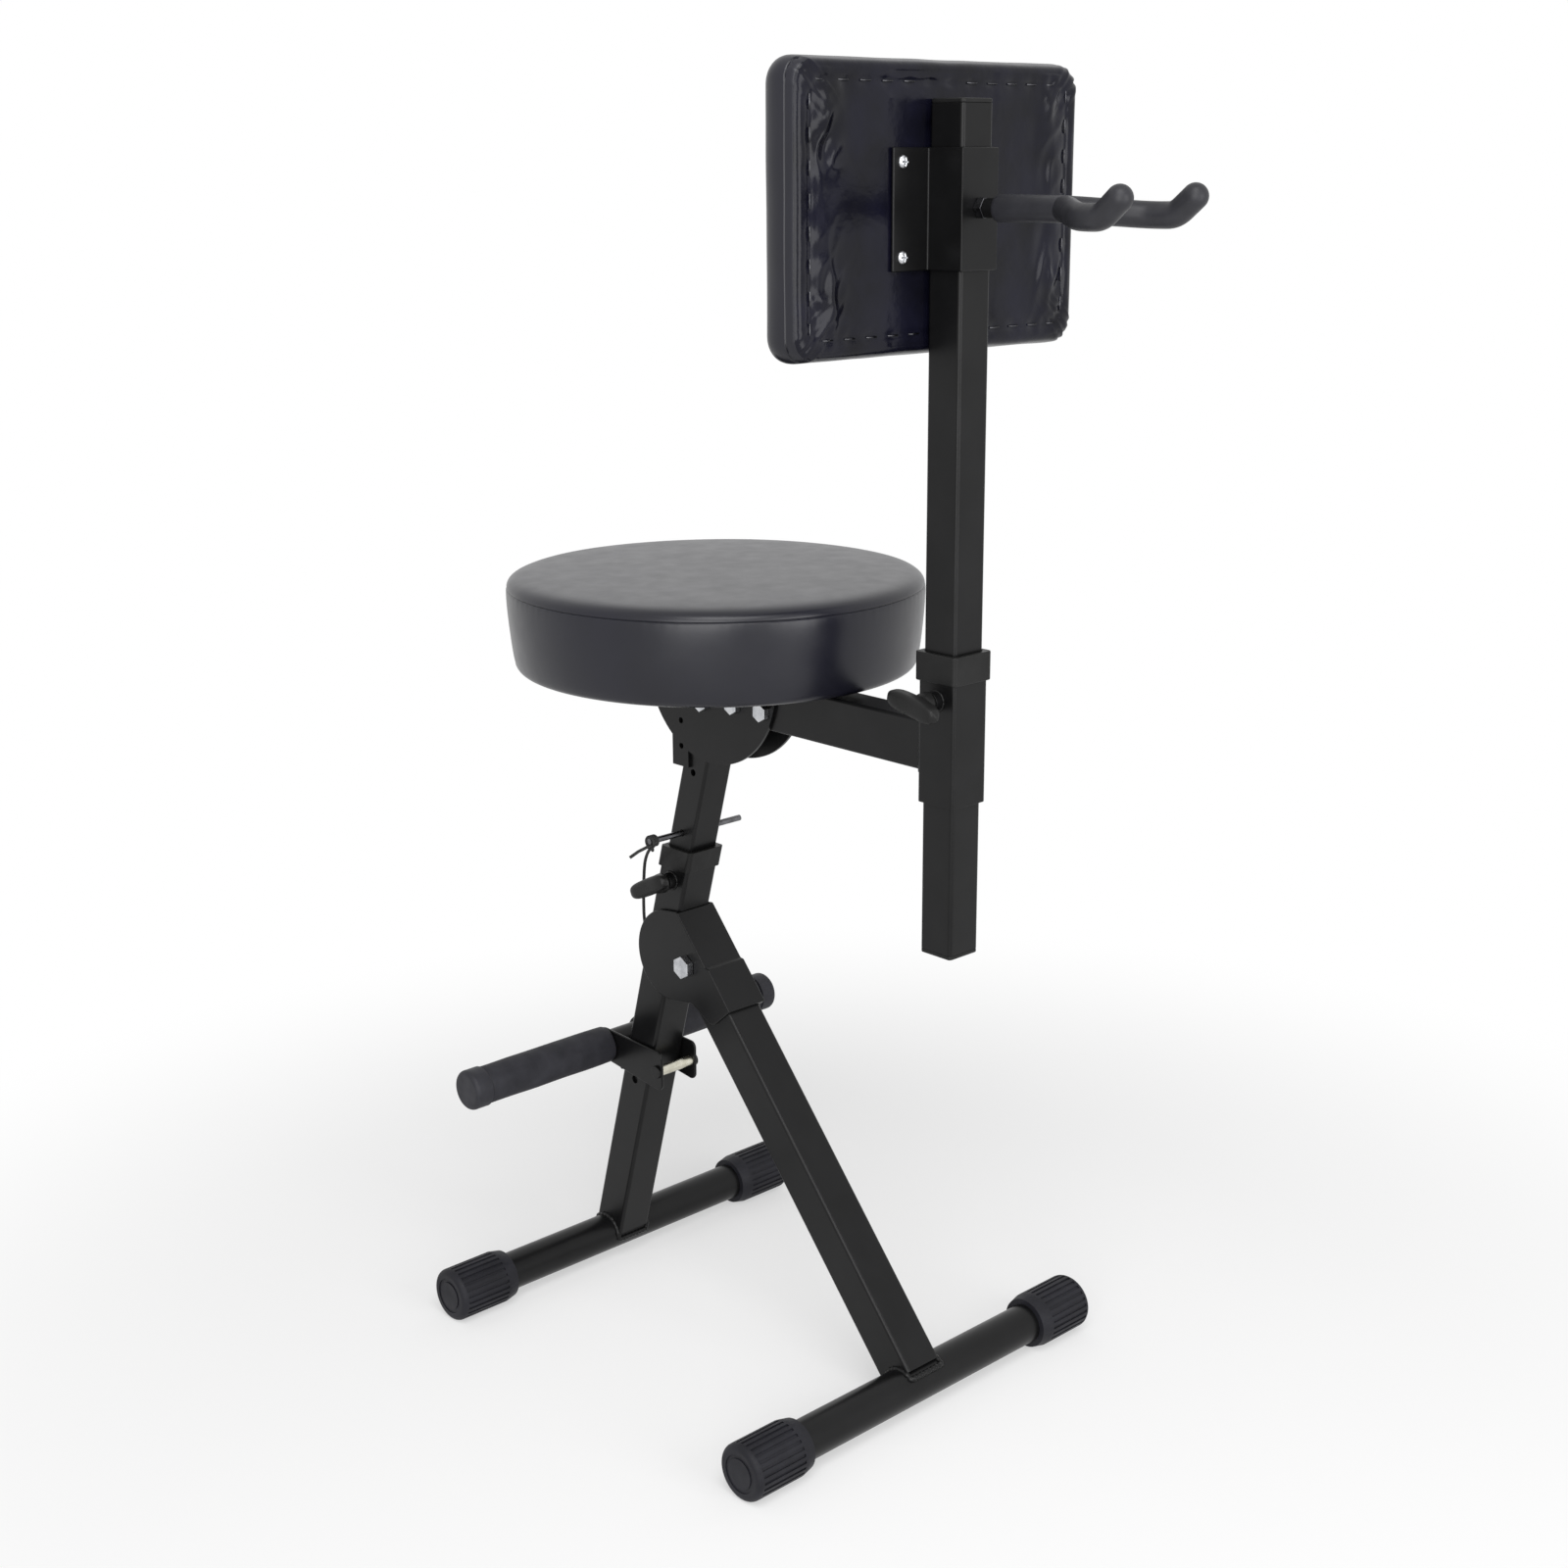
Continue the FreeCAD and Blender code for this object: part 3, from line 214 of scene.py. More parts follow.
def closed_foam():
    s = Shader("closed_foam", grey(0.016), rough=0.6, specular=0.16)
    s.colour(s.noise(60, detail=4), grey(0.018, tint=0.2), grey(0.03, tint=0.2))
    s.rough(s.noise(70, detail=3), 0.5, 0.66)
    s.bump(s.cells(1100), strength=0.25, depth_mm=0.2)
    s.bump(s.noise(260, detail=4), strength=0.12, depth_mm=0.3)
    return s.mat


def dipped_foam():
    s = Shader("dipped_foam", grey(0.02), rough=0.42, specular=0.3)
    s.colour(s.noise(60, detail=4), grey(0.016, tint=0.2), grey(0.024, tint=0.2))
    s.rough(s.noise(90, detail=3), 0.36, 0.48)
    s.bump(s.noise(500, detail=3), strength=0.12, depth_mm=0.15)
    return s.mat


def plated(name, low, high):
    s = Shader(name, low, rough=0.28, specular=0.5, metal=1.0)
    s.colour(s.noise(160, detail=4), low, high)
    s.rough(s.noise(260, detail=3), 0.2, 0.4)
    s.bump(s.noise(900, detail=2, stretch=(1, 6, 6)), strength=0.1, depth_mm=0.08)
    return s.mat


def plywood():
    s = Shader("plywood", (0.42, 0.29, 0.16), rough=0.7, specular=0.3)
    grain = s.noise(90, detail=6, stretch=(1, 0.08, 1))
    s.colour(grain, (0.33, 0.21, 0.11), (0.52, 0.37, 0.22))
    s.bump(s.noise(400, detail=4, stretch=(1, 0.1, 1)), strength=0.3, depth_mm=0.2)
    return s.mat


def braided_cord():
    s = Shader("braided_cord", grey(0.02), rough=0.75, specular=0.3)
    s.colour(s.noise(900, detail=2, stretch=(1, 1, 2)), grey(0.01), grey(0.035))
    s.bump(s.noise(1500, detail=2, stretch=(1, 1, 2)), strength=0.6, depth_mm=0.3)
    return s.mat


COAT = powder_coat()
VINYL = vinyl_cover()
BACK_VINYL = back_vinyl()
RUBBER = moulded_rubber()
PLASTIC = moulded_plastic()
SATIN = satin_plastic()
FOAM = closed_foam()
DIPPED = dipped_foam()
ZINC = plated("zinc_plate", (0.4, 0.41, 0.43), (0.62, 0.63, 0.65))
YELLOW_ZINC = plated("yellow_zinc", (0.56, 0.54, 0.44), (0.74, 0.72, 0.62))
# a darker copy of the zinc, painted shade: it stands in for the dark surroundings that the locking pin reflects
ZINC_PAINTED_SHADE = plated("zinc_with_painted_shade", (0.09, 0.09, 0.095), (0.2, 0.2, 0.21))
DARK_STEEL = plated("dark_steel", (0.05, 0.05, 0.055), (0.12, 0.12, 0.13))
PLY = plywood()
CORD = braided_cord()
BY_SLOT = {"black_paint": COAT, "black_rubber": RUBBER, "black_plastic": PLASTIC,
           "zinc_plate": ZINC, "yellow_zinc": YELLOW_ZINC, "black_vinyl": VINYL,
           "charcoal_foam": FOAM, "plywood": PLY, "black_cord": CORD}
# nodes whose finish differs from the rest of their slot; the locking pin's zinc is a darker copy, painted shade
# for the dark surroundings it reflects
BY_NODE = {"locking_pin": ZINC_PAINTED_SHADE, "hook_nut": DARK_STEEL,
           "footrest_cap_left": SATIN, "footrest_cap_right": SATIN}

# eased edges of the CAD nodes, mm; short edges don't hold them back on the folded sheets
EASE = 0.35
EASED_EDGE = {"leg_collar": 0.8, "sleeve_collar": 0.8, "pole_top_plug": 1.0, "pole_bottom_plug": 1.0,
              "hinge_bolt": 1.0, "bracket_bolts": 0.5, "locking_pin": 0.7, "backrest_strap": 1.1,
              "hinge_bracket": 1.1, "seat_bracket": 0.8, "footrest_bracket": 0.9}
FOLDED = ("backrest_strap", "hinge_bracket", "footrest_bracket")
EASE_OVER_DEG = 35
FLAT_WITHIN_DEG = 0.5
WELD_WITHIN = 0.01


def dress_cad_nodes():
    """Materials on the CAD nodes, with welded corners and a small eased edge by modifiers."""
    for row in frame["record"]["subparts"]:
        obj = nodes[row["node"]]
        obj.data.materials.clear()
        obj.data.materials.append(BY_NODE.get(row["node"], BY_SLOT[row["material_slot"]]))
        obj.data.polygons.foreach_set("use_smooth", [True] * len(obj.data.polygons))
        weld = obj.modifiers.new("weld", "WELD")
        weld.merge_threshold = WELD_WITHIN * MM
        flat = obj.modifiers.new("flat", "DECIMATE")
        flat.decimate_type = "DISSOLVE"
        flat.angle_limit = math.radians(FLAT_WITHIN_DEG)
        ease = obj.modifiers.new("ease", "BEVEL")
        ease.width = EASED_EDGE.get(row["node"], EASE) * MM
        ease.segments = 2
        ease.limit_method = "ANGLE"
        ease.angle_limit = math.radians(EASE_OVER_DEG)
        ease.use_clamp_overlap = row["node"] not in FOLDED
        shade = obj.modifiers.new("shade", "WEIGHTED_NORMAL")
        shade.weight = 100


def add_piece(name, verts, faces, material, body, replaced=()):
    mesh = bpy.data.meshes.new(name)
    mesh.from_pydata([tuple(v) for v in verts], [], faces)
    mesh.validate()
    mesh.materials.append(material)
    mesh.polygons.foreach_set("use_smooth", [True] * len(mesh.polygons))
    obj = bpy.data.objects.new(name, mesh)
    scene.collection.objects.link(obj)
    if body:
        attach(obj, body)
    if replaced:
        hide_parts(*replaced)
    return obj


def grid_faces(rows, cols, close_rows=False):
    """Quads between rows of points, each row a closed ring."""
    faces = []
    for i in range(rows if close_rows else rows - 1):
        j = (i + 1) % rows
        for k in range(cols):
            n = (k + 1) % cols
            faces.append((i * cols + k, i * cols + n, j * cols + n, j * cols + k))
    return faces


def end_caps(rows, cols):
    """The two faces that close the first and last rows of a grid."""
    return [tuple(reversed(range(cols))), tuple(range((rows - 1) * cols, rows * cols))]


def smooth_through(points, steps):
    """Catmull-Rom points through a short list of 2-D or 3-D points."""
    pts = [Vector(p) for p in points]
    out = []
    for i in range(len(pts) - 1):
        p0 = pts[max(i - 1, 0)]
        p1 = pts[i]
        p2 = pts[i + 1]
        p3 = pts[min(i + 2, len(pts) - 1)]
        for k in range(steps):
            t = k / steps
            a = p1 * 2 + (p2 - p0) * t
            b = (p0 * 2 - p1 * 5 + p2 * 4 - p3) * t * t
            c = (p1 * 3 - p0 - p2 * 3 + p3) * t * t * t
            out.append((a + b + c) * 0.5)
    out.append(pts[-1])
    return out


def tube(path, radius, sides):
    """Rings along a path; radius is a function of the share of the path. Flat ends."""
    pts = [Vector(p) for p in path]
    ahead = (pts[1] - pts[0]).normalized()
    side = ahead.orthogonal().normalized()
    verts = []
    for i, p in enumerate(pts):
        new = (pts[min(i + 1, len(pts) - 1)] - pts[max(i - 1, 0)]).normalized()
        side = (ahead.rotation_difference(new) @ side).normalized()
        ahead = new
        up = ahead.cross(side)
        r = radius(i / (len(pts) - 1))
        for k in range(sides):
            a = 2 * math.pi * k / sides
            verts.append(p + (side * math.cos(a) + up * math.sin(a)) * r)
    return verts, grid_faces(len(pts), sides) + end_caps(len(pts), sides)


def even_points(path, count):
    """The same line with evenly spaced points."""
    runs = [0.0]
    for p, q in zip(path, path[1:]):
        runs.append(runs[-1] + (q - p).length)
    out = []
    k = 0
    for i in range(count + 1):
        want = runs[-1] * i / count
        while k < len(runs) - 2 and runs[k + 1] < want:
            k += 1
        share = (want - runs[k]) / max(runs[k + 1] - runs[k], 1e-9)
        out.append(path[k].lerp(path[k + 1], share))
    return out


def joined(parts):
    verts = []
    faces = []
    for v, f in parts:
        base = len(verts)
        verts += v
        faces += [tuple(i + base for i in face) for face in f]
    return verts, faces


def spline_points(points, resolution):
    """Points along a NURBS spline that has the given control points."""
    data = bpy.data.curves.new("route", "CURVE")
    data.dimensions = "3D"
    data.resolution_u = resolution
    line = data.splines.new("NURBS")
    line.points.add(len(points) - 1)
    for point, p in zip(line.points, points):
        point.co = (*p, 1)
    line.order_u = 3
    line.use_endpoint_u = True
    obj = bpy.data.objects.new("route", data)
    mesh = bpy.data.meshes.new_from_object(obj)
    out = [v.co.copy() for v in mesh.vertices]
    bpy.data.objects.remove(obj)
    bpy.data.curves.remove(data)
    bpy.data.meshes.remove(mesh)
    return out


# staples, mm
STAPLE_HALF = 4.5
STAPLE_R = 0.5
STAPLE_SINK = 1.2


def staple(at, along, out):
    half = along * STAPLE_HALF * MM
    sink = out * -STAPLE_SINK * MM
    rise = out * STAPLE_R * 0.5 * MM
    return tube([at - half + sink, at - half + rise, at + half + rise, at + half + sink],
                lambda t: STAPLE_R * MM, 6)


# seat cushion, mm: radius and height from the underside, hem to crown
SEAT_COLS = 288
SEAT_PROFILE = [(118, 0.2), (124, -0.9), (146, -1.1), (153, -0.6), (157.5, 2.2), (159.6, 8), (161.2, 18),
                (162.6, 32), (163.6, 46), (164, 56), (163.9, 61.2), (163.5, 63.2), (162.8, 63.9),
                (163.4, 64.6), (163.2, 65.8), (162.2, 67.8), (160.2, 69.7), (157, 71.3), (152, 72.4),
                (144, 73), (125, 73.5), (95, 73.8), (60, 74), (25, 74.1), (6, 74.1)]
SEAM_Z = 63.9
SOFT_WAVE = 0.7
SOFT_OVER_Z = 5
GATHERS = 112
GATHER_DEEP = 0.42
GATHER_FADE = 5.0
GATHER_REACH = 22
SEAT_STAPLES = 60
HEM_R = 127
HEM_DROP = 1.0


def seat_cushion():
    low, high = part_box("seat_cushion")
    axis = ((low + high) / 2).xy.to_3d()
    profile = smooth_through(SEAT_PROFILE, 4)
    verts = []
    for p in profile:
        for k in range(SEAT_COLS):
            a = 2 * math.pi * k / SEAT_COLS
            at = Vector((math.cos(a), math.sin(a), 0))
            soft = noise.noise(Vector((at.x * 2.2, at.y * 2.2, p.y * 0.02)))
            r = p.x + (SOFT_WAVE * soft if p.y > SOFT_OVER_Z else 0)
            below = SEAM_Z - p.y
            if 0 < below < GATHER_REACH:
                wave = math.sin(GATHERS * a + 3 * noise.noise(at * 5))
                depth = 0.5 + 0.5 * noise.noise(at * 9 + Vector((0, 0, 4)))
                r += GATHER_DEEP * wave * max(depth, 0) * math.exp(-below / GATHER_FADE)
            verts.append(axis + at * r * MM + Vector((0, 0, low.z + p.y * MM)))
    faces = grid_faces(len(profile), SEAT_COLS)
    faces.append(end_caps(len(profile), SEAT_COLS)[1])
    obj = add_piece("seat_cover", verts, faces, VINYL, "seat_assembly", ("seat_cushion",))
    hem = []
    for k in range(SEAT_STAPLES):
        a = 2 * math.pi * (k + 0.5) / SEAT_STAPLES
        at = axis + Vector((math.cos(a), math.sin(a), 0)) * HEM_R * MM
        at += Vector((0, 0, low.z - HEM_DROP * MM))
        hem.append(staple(at, Vector((-math.sin(a), math.cos(a), 0)), Vector((0, 0, -1))))
    verts, faces = joined(hem)
    add_piece("seat_staples", verts, faces, DARK_STEEL, "seat_assembly")


# backrest pad: layers from the middle of the back, round the edge, to the middle of the front,
# as inset from the outline and distance behind the back plane, in mm
PAD_COLS = 320
PAD_LAYERS = [(80, -0.5), (62, -0.5), (50, -0.5), (44, -0.4), (40, -0.3), (36, -0.2), (32.5, -0.1), (29, 0.0),
              (26, 0.1), (23, 0.1), (20.5, -0.1), (18.4, -0.3), (16.6, -0.6), (15, -0.8), (13.4, -0.5),
              (11.6, 0.1), (9, 0.4), (6.6, 0.2), (4.4, -0.7), (2.8, -2.4), (1.8, -4.6), (1.3, -6.6),
              (1, -8.2), (1.5, -8.9), (0.9, -9.6), (0.4, -12), (0, -15.5), (0.1, -19.5), (1, -24),
              (3, -28), (6.5, -31), (12, -32.8), (22, -34), (38, -34.6), (60, -34.9), (80, -35), (93, -35)]
PAD_CORNER = 15.0
PAD_SOFT = 0.5
# the back: where its cloth starts, how deep it may dip, and its room behind the strap
BACK_OVER = -3
BACK_INSET = 8
BACK_SOFT = 0.3
PAD_DIP = -1.2
STRAP_HALF = 52.0
STRAP_ROOM = -0.3
CLOTH_OVER = -2
# creases beside the left and right edges: distance from the edge and two lobes up and down
CRUMPLE_HIGH = 3.4
CRUMPLE_IN = 30
CRUMPLE_WIDE = 12
LOBE_Z = 50
LOBE_WIDE = 30
# pleats round each corner, in degrees from its middle
PLEATS = (-33, -13, 4, 24)
PLEAT_WIDE = 4.6
PLEAT_DEEP = 1.9
PLEAT_RIDGE = 0.45
PLEAT_FROM = 1
PLEAT_TO = 34
PLEAT_IN = 12
PLEAT_OVER = -10
# staples and the dents they pull
STAPLES = 40
STAPLE_INSET = 15.0
STAPLE_CORNER = 7.0
STAPLE_BEHIND = 0.6
STAPLE_FREE_HALF = 20
DENT_DEEP = 0.7
DENT_SPREAD = 18.0
DENT_INSET = 26


def rounded_loop(width, height, radius, count):
    """Points, outward normals and corner angles evenly spaced round a rounded rectangle."""
    a = width / 2 - radius
    b = height / 2 - radius
    quarter = radius * math.pi / 2
    legs = [("line", 2 * b, (width / 2, -b), (0, 1), (1, 0)), ("arc", quarter, (a, b), 0, None),
            ("line", 2 * a, (a, height / 2), (-1, 0), (0, 1)), ("arc", quarter, (-a, b), 90, None),
            ("line", 2 * b, (-width / 2, b), (0, -1), (-1, 0)), ("arc", quarter, (-a, -b), 180, None),
            ("line", 2 * a, (-a, -height / 2), (1, 0), (0, -1)), ("arc", quarter, (a, -b), 270, None)]
    total = sum(leg[1] for leg in legs)
    out = []
    for k in range(count):
        d = total * k / count
        for kind, length, at, way, normal in legs:
            if d <= length:
                break
            d -= length
        if kind == "line":
            out.append((at[0] + way[0] * d, at[1] + way[1] * d, normal[0], normal[1], None))
        else:
            angle = way + 90 * d / length
            c = math.cos(math.radians(angle))
            s = math.sin(math.radians(angle))
            out.append((at[0] + radius * c, at[1] + radius * s, c, s, angle - way - 45))
    return out


def staple_spots():
    """Places and outward normals of the staples round the back, in mm from the pad's middle."""
    low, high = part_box("backrest_cushion")
    width = (high.x - low.x) / MM - 2 * STAPLE_INSET
    height = (high.z - low.z) / MM - 2 * STAPLE_INSET
    return [spot[:4] for spot in rounded_loop(width, height, STAPLE_CORNER, STAPLES)]


def crumple(x, z, edge):
    """Creases of the back cloth beside its left and right edges."""
    band = math.exp(-((edge - CRUMPLE_IN) / CRUMPLE_WIDE) ** 2)
    lobe = math.exp(-((abs(z) - LOBE_Z) / LOBE_WIDE) ** 2) + 0.2
    patch = 0.7 + noise.noise(Vector((x * 0.025, 1.5, z * 0.03)))
    fold = abs(noise.noise(Vector((x * 0.06 + z * 0.02, 4.0, z * 0.03 - x * 0.02))))
    fine = noise.noise(Vector((x * 0.12, 9.0, z * 0.07)))
    return CRUMPLE_HIGH * band * lobe * patch * (1 - 2.6 * fold - 0.3 * fine)


def pad_layer(inset, behind, spots):
    """One ring of the pad, with pleats at its corners and creases and dents on its back."""
    low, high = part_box("backrest_cushion")
    centre = (low + high) / 2
    width = (high.x - low.x) / MM
    height = (high.z - low.z) / MM
    outline = rounded_loop(width, height, PAD_CORNER, PAD_COLS)
    shrink_x = (width / 2 - inset) / (width / 2)
    shrink_z = (height / 2 - inset) / (height / 2)
    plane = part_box("backrest_back_panel")[1].y
    on_back = behind > BACK_OVER and inset > BACK_INSET
    pleated = PLEAT_FROM < inset < PLEAT_TO and behind > PLEAT_OVER
    out = []
    for x, z, nx, nz, corner in outline:
        y = behind
        px = x * shrink_x
        pz = z * shrink_z
        push = PAD_SOFT * noise.noise(Vector((x * 0.03, behind * 0.05, z * 0.03)))
        if corner is not None and pleated:
            groove = sum(math.exp(-((corner - spot) / PLEAT_WIDE) ** 2) for spot in PLEATS)
            fade = math.exp(-((inset - PLEAT_IN) / PLEAT_IN) ** 2)
            push -= PLEAT_DEEP * groove * fade
            y += PLEAT_DEEP * (PLEAT_RIDGE - groove) * fade
        px += nx * push
        pz += nz * push
        if on_back:
            wave = BACK_SOFT * noise.noise(Vector((px * 0.035, 6.0, pz * 0.035)))
            y += crumple(px, pz, width / 2 - abs(px)) + wave
            if inset < DENT_INSET:
                near = min((px - sx) ** 2 + (pz - sz) ** 2 for sx, sz, _, _ in spots)
                y -= DENT_DEEP * math.exp(-near / DENT_SPREAD)
            y = max(y, PAD_DIP)
            if abs(px) < STRAP_HALF:
                y = min(y, STRAP_ROOM)
        out.append(Vector((centre.x + px * MM, plane + y * MM, centre.z + pz * MM)))
    return out


def backrest_pad():
    spots = staple_spots()
    layers = smooth_through(PAD_LAYERS, 3)
    verts = []
    for inset, behind in layers:
        verts += pad_layer(inset, behind, spots)
    faces = grid_faces(len(layers), PAD_COLS)
    cloth_faces = PAD_COLS * sum(1 for inset, behind in layers if behind > CLOTH_OVER)
    cloth_middle = len(faces)
    faces += end_caps(len(layers), PAD_COLS)
    faces = [tuple(reversed(f)) for f in faces]
    obj = add_piece("backrest_cover", verts, faces, VINYL, "backrest_assembly",
                    ("backrest_cushion", "backrest_back_panel"))
    obj.data.materials.append(BACK_VINYL)
    for face in obj.data.polygons:
        if face.index < cloth_faces or face.index == cloth_middle:
            face.material_index = 1
    low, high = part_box("backrest_cushion")
    centre = (low + high) / 2
    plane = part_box("backrest_back_panel")[1].y
    tacks = []
    for x, z, nx, nz in spots:
        if abs(x) > STAPLE_FREE_HALF:
            at = Vector((centre.x + x * MM, plane - STAPLE_BEHIND * MM, centre.z + z * MM))
            tacks.append(staple(at, Vector((-nz, 0, nx)), Vector((0, 1, 0))))
    verts, faces = joined(tacks)
    add_piece("backrest_staples", verts, faces, DARK_STEEL, "backrest_assembly")


def revolved(node, axis, profile, cols, wobble):
    """A closed ring profile (distance along the axis, radius, in mm) turned round a node's own axis."""
    low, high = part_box(node)
    centre = (low + high) / 2
    along = Vector([1.0 if i == axis else 0.0 for i in range(3)])
    side = Vector([1.0 if i == (axis + 1) % 3 else 0.0 for i in range(3)])
    up = along.cross(side)
    verts = []
    for d, r in profile:
        for k in range(cols):
            a = 2 * math.pi * k / cols
            at = side * math.cos(a) + up * math.sin(a)
            bumpy = r + wobble * noise.noise(at * 1.3 + along * d * 0.03)
            verts.append(centre + along * d * MM + at * bumpy * MM)
    return verts, grid_faces(len(profile), cols, True)


# foam sleeves, mm: rounded ends and a slightly uneven skin
FOAM_ROUND = 1.6
FOAM_SHOULDER = 0.5
FOAM_WOBBLE = 0.5
FOAM_STEPS = 24
FOAM_COLS = 72
GRIP_BORE_R = 11.05
STEM_BORE_R = 6.6


def foam_sleeve(name, node, axis, bore, body, material):
    low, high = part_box(node)
    half = (high[axis] - low[axis]) / 2 / MM
    r = (high[(axis + 1) % 3] - low[(axis + 1) % 3]) / 2 / MM
    run = 2 * half - 2 * FOAM_ROUND
    outer = [(-half + FOAM_ROUND + run * i / FOAM_STEPS, r) for i in range(FOAM_STEPS + 1)]
    start = [(-half, bore), (-half, r - FOAM_ROUND), (-half + FOAM_SHOULDER, r - FOAM_SHOULDER)]
    end = [(half - FOAM_SHOULDER, r - FOAM_SHOULDER), (half, r - FOAM_ROUND), (half, bore)]
    verts, faces = revolved(node, axis, start + outer + end, FOAM_COLS, FOAM_WOBBLE)
    obj = add_piece(name, verts, faces, material, body, (node,))


# hook prong route, mm: side, distance behind the stem's end, height over the stem
PRONG = [(0, 2.5, 0), (0, 7, 0), (17, 25.5, -1.8), (33, 43, -3.5), (36, 55, -3.8), (37, 66, -3.5),
         (37.6, 75.5, 4.5), (38, 85, 12.5)]
PRONG_POINTS = 90
PRONG_FOAM_R = 8.6
PRONG_START = 0.9
PRONG_SWELL = 0.1
PRONG_SWELL_RUN = 2
STEM_LAP = 5
TIP_OVER = 1.6
TIP_STEPS = 14


def hook_foams():
    low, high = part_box("hook_stem_foam")
    stem = (low + high) / 2
    end_y = high.y - STEM_LAP * MM
    foam_sleeve("hook_stem_pad", "hook_stem_foam", 1, STEM_BORE_R, "guitar_hook", DIPPED)
    for side, node in ((1, "hook_left_foam"), (-1, "hook_right_foam")):
        route = [(side * x * MM, end_y + y * MM, stem.z + z * MM) for x, y, z in PRONG]
        path = spline_points(route, 12)
        ahead = (path[-1] - path[-2]).normalized()
        path = even_points(path, PRONG_POINTS)
        apex = path[-1] + ahead * TIP_OVER * MM
        round_from = PRONG_FOAM_R * MM
        path = [p for p in path if (p - apex).length > round_from]
        last = path[-1]
        for i in range(1, TIP_STEPS + 1):
            path.append(last.lerp(apex, math.sin(math.pi / 2 * i / TIP_STEPS)))
        whole = len(path) - 1

        def girth(t):
            k = round(t * whole)
            ease = min((path[k] - path[0]).length / (PRONG_SWELL_RUN * MM), 1.0)
            left = (path[k] - apex).length
            end = 1.0
            if left < round_from:
                end = math.sqrt(max(1 - (1 - left / round_from) ** 2, 0.0004))
            return PRONG_FOAM_R * MM * min(PRONG_START + PRONG_SWELL * ease, 1.0) * end

        verts, faces = tube(path, girth, 40)
        name = node.replace("foam", "pad")
        obj = add_piece(name, verts, faces, DIPPED, "guitar_hook", (node,))


def remeshed(obj, voxel_mm, rounds):
    """Joins what overlaps in a mesh into one skin and softens it."""
    skin = obj.modifiers.new("skin", "REMESH")
    skin.mode = "VOXEL"
    skin.voxel_size = voxel_mm * MM
    skin.use_smooth_shade = True
    soft = obj.modifiers.new("soft", "SMOOTH")
    soft.factor = 0.5
    soft.iterations = rounds
    graph = bpy.context.evaluated_depsgraph_get()
    mesh = bpy.data.meshes.new_from_object(obj.evaluated_get(graph))
    obj.modifiers.clear()
    obj.data = mesh


# wing knobs, mm: hub as distance from its face and radius, and one wing bar across it
KNOB_TURN = {"seat_clamp_knob": 27.0, "pole_clamp_knob": -12.0}
HUB_R = 8.4
HUB_PROFILE = [(0, 3.9), (0, HUB_R - 1), (1, HUB_R), (6, HUB_R - 0.4), (10, HUB_R - 1.6),
               (19, HUB_R - 2.6), (20.3, HUB_R - 4), (20.3, 1.2), (12.5, 1.0), (12.5, 3.9)]
HUB_COLS = 40
WING_HALF = 24.0
WING_THICK = 7.2
WING_DEEP = 6.8
WING_TAPER = 1.0
WING_MID = 14.2
WING_SWEEP = 1.6
WING_BLUNT = 6
WING_SQUARE = 0.6
WING_SPANS = 25
WING_COLS = 28
KNOB_VOXEL = 0.6
KNOB_ROUNDS = 4


def squared(value):
    """A cosine or sine pulled towards a square section."""
    return math.copysign(abs(value) ** WING_SQUARE, value)


def wing_knob(node, body):
    low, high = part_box(node)
    centre = (low + high) / 2
    hub = []
    for d, r in HUB_PROFILE:
        for k in range(HUB_COLS):
            a = 2 * math.pi * k / HUB_COLS
            hub.append(Vector((d, r * math.cos(a), r * math.sin(a))))
    hub_faces = grid_faces(len(HUB_PROFILE), HUB_COLS, True)
    wing = []
    for i in range(WING_SPANS):
        t = -1 + 2 * i / (WING_SPANS - 1)
        end = math.sqrt(max(1 - abs(t) ** WING_BLUNT, 0.02))
        thick = (WING_THICK - WING_TAPER * t * t) * end
        mid = WING_MID + WING_SWEEP * t * t
        deep = (WING_DEEP - WING_TAPER * t * t) * end
        for k in range(WING_COLS):
            a = 2 * math.pi * k / WING_COLS
            c = squared(math.cos(a))
            s = squared(math.sin(a))
            wing.append(Vector((mid + deep * c, t * WING_HALF, thick * s)))
    wing_faces = grid_faces(WING_SPANS, WING_COLS) + end_caps(WING_SPANS, WING_COLS)
    turn = Matrix.Rotation(math.radians(KNOB_TURN[node]), 4, "X")
    verts, faces = joined([(hub, hub_faces), (wing, wing_faces)])
    base = Vector((low.x, centre.y, centre.z))
    verts = [base + turn @ (v * MM) for v in verts]
    obj = add_piece(node.replace("clamp_knob", "wing_knob"), verts, faces, PLASTIC, body,
                    (node,))
    remeshed(obj, KNOB_VOXEL, KNOB_ROUNDS)


# welded seams: lean of the legs in degrees, widths of the tubes and sizes of the beads in mm
LEG_LEAN = 15.6
REAR_LEAN = 40.662
LEG_WIDE = 33
REAR_WIDE = 35
TUBE_CORNER = 3.0
SADDLE_POINTS = 120
SADDLE_LEAST = 2
BOSS_R = 7.2
RING_POINTS = 40
FLOOR_BEAD = 2.2
ARM_BEAD = 1.8
BOSS_BEAD = 1.1
BEAD_STEP = 1.2
BEAD_SEED = 40


def bead(path, radius_mm, seed):
    """A welded seam: a lumpy low tube along a path."""
    rng = random.Random(seed)
    pts = []
    for a, b in zip(path, path[1:]):
        steps = max(int((Vector(b) - Vector(a)).length / (BEAD_STEP * MM)), 1)
        for i in range(steps):
            pts.append(Vector(a).lerp(Vector(b), i / steps))
    pts.append(Vector(path[-1]))
    lumps = [radius_mm * MM * (0.75 + 0.35 * abs(math.sin(i * 0.9)) + 0.12 * rng.random())
             for i in range(len(pts))]
    return tube(pts, lambda t: lumps[round(t * (len(pts) - 1))], 8)


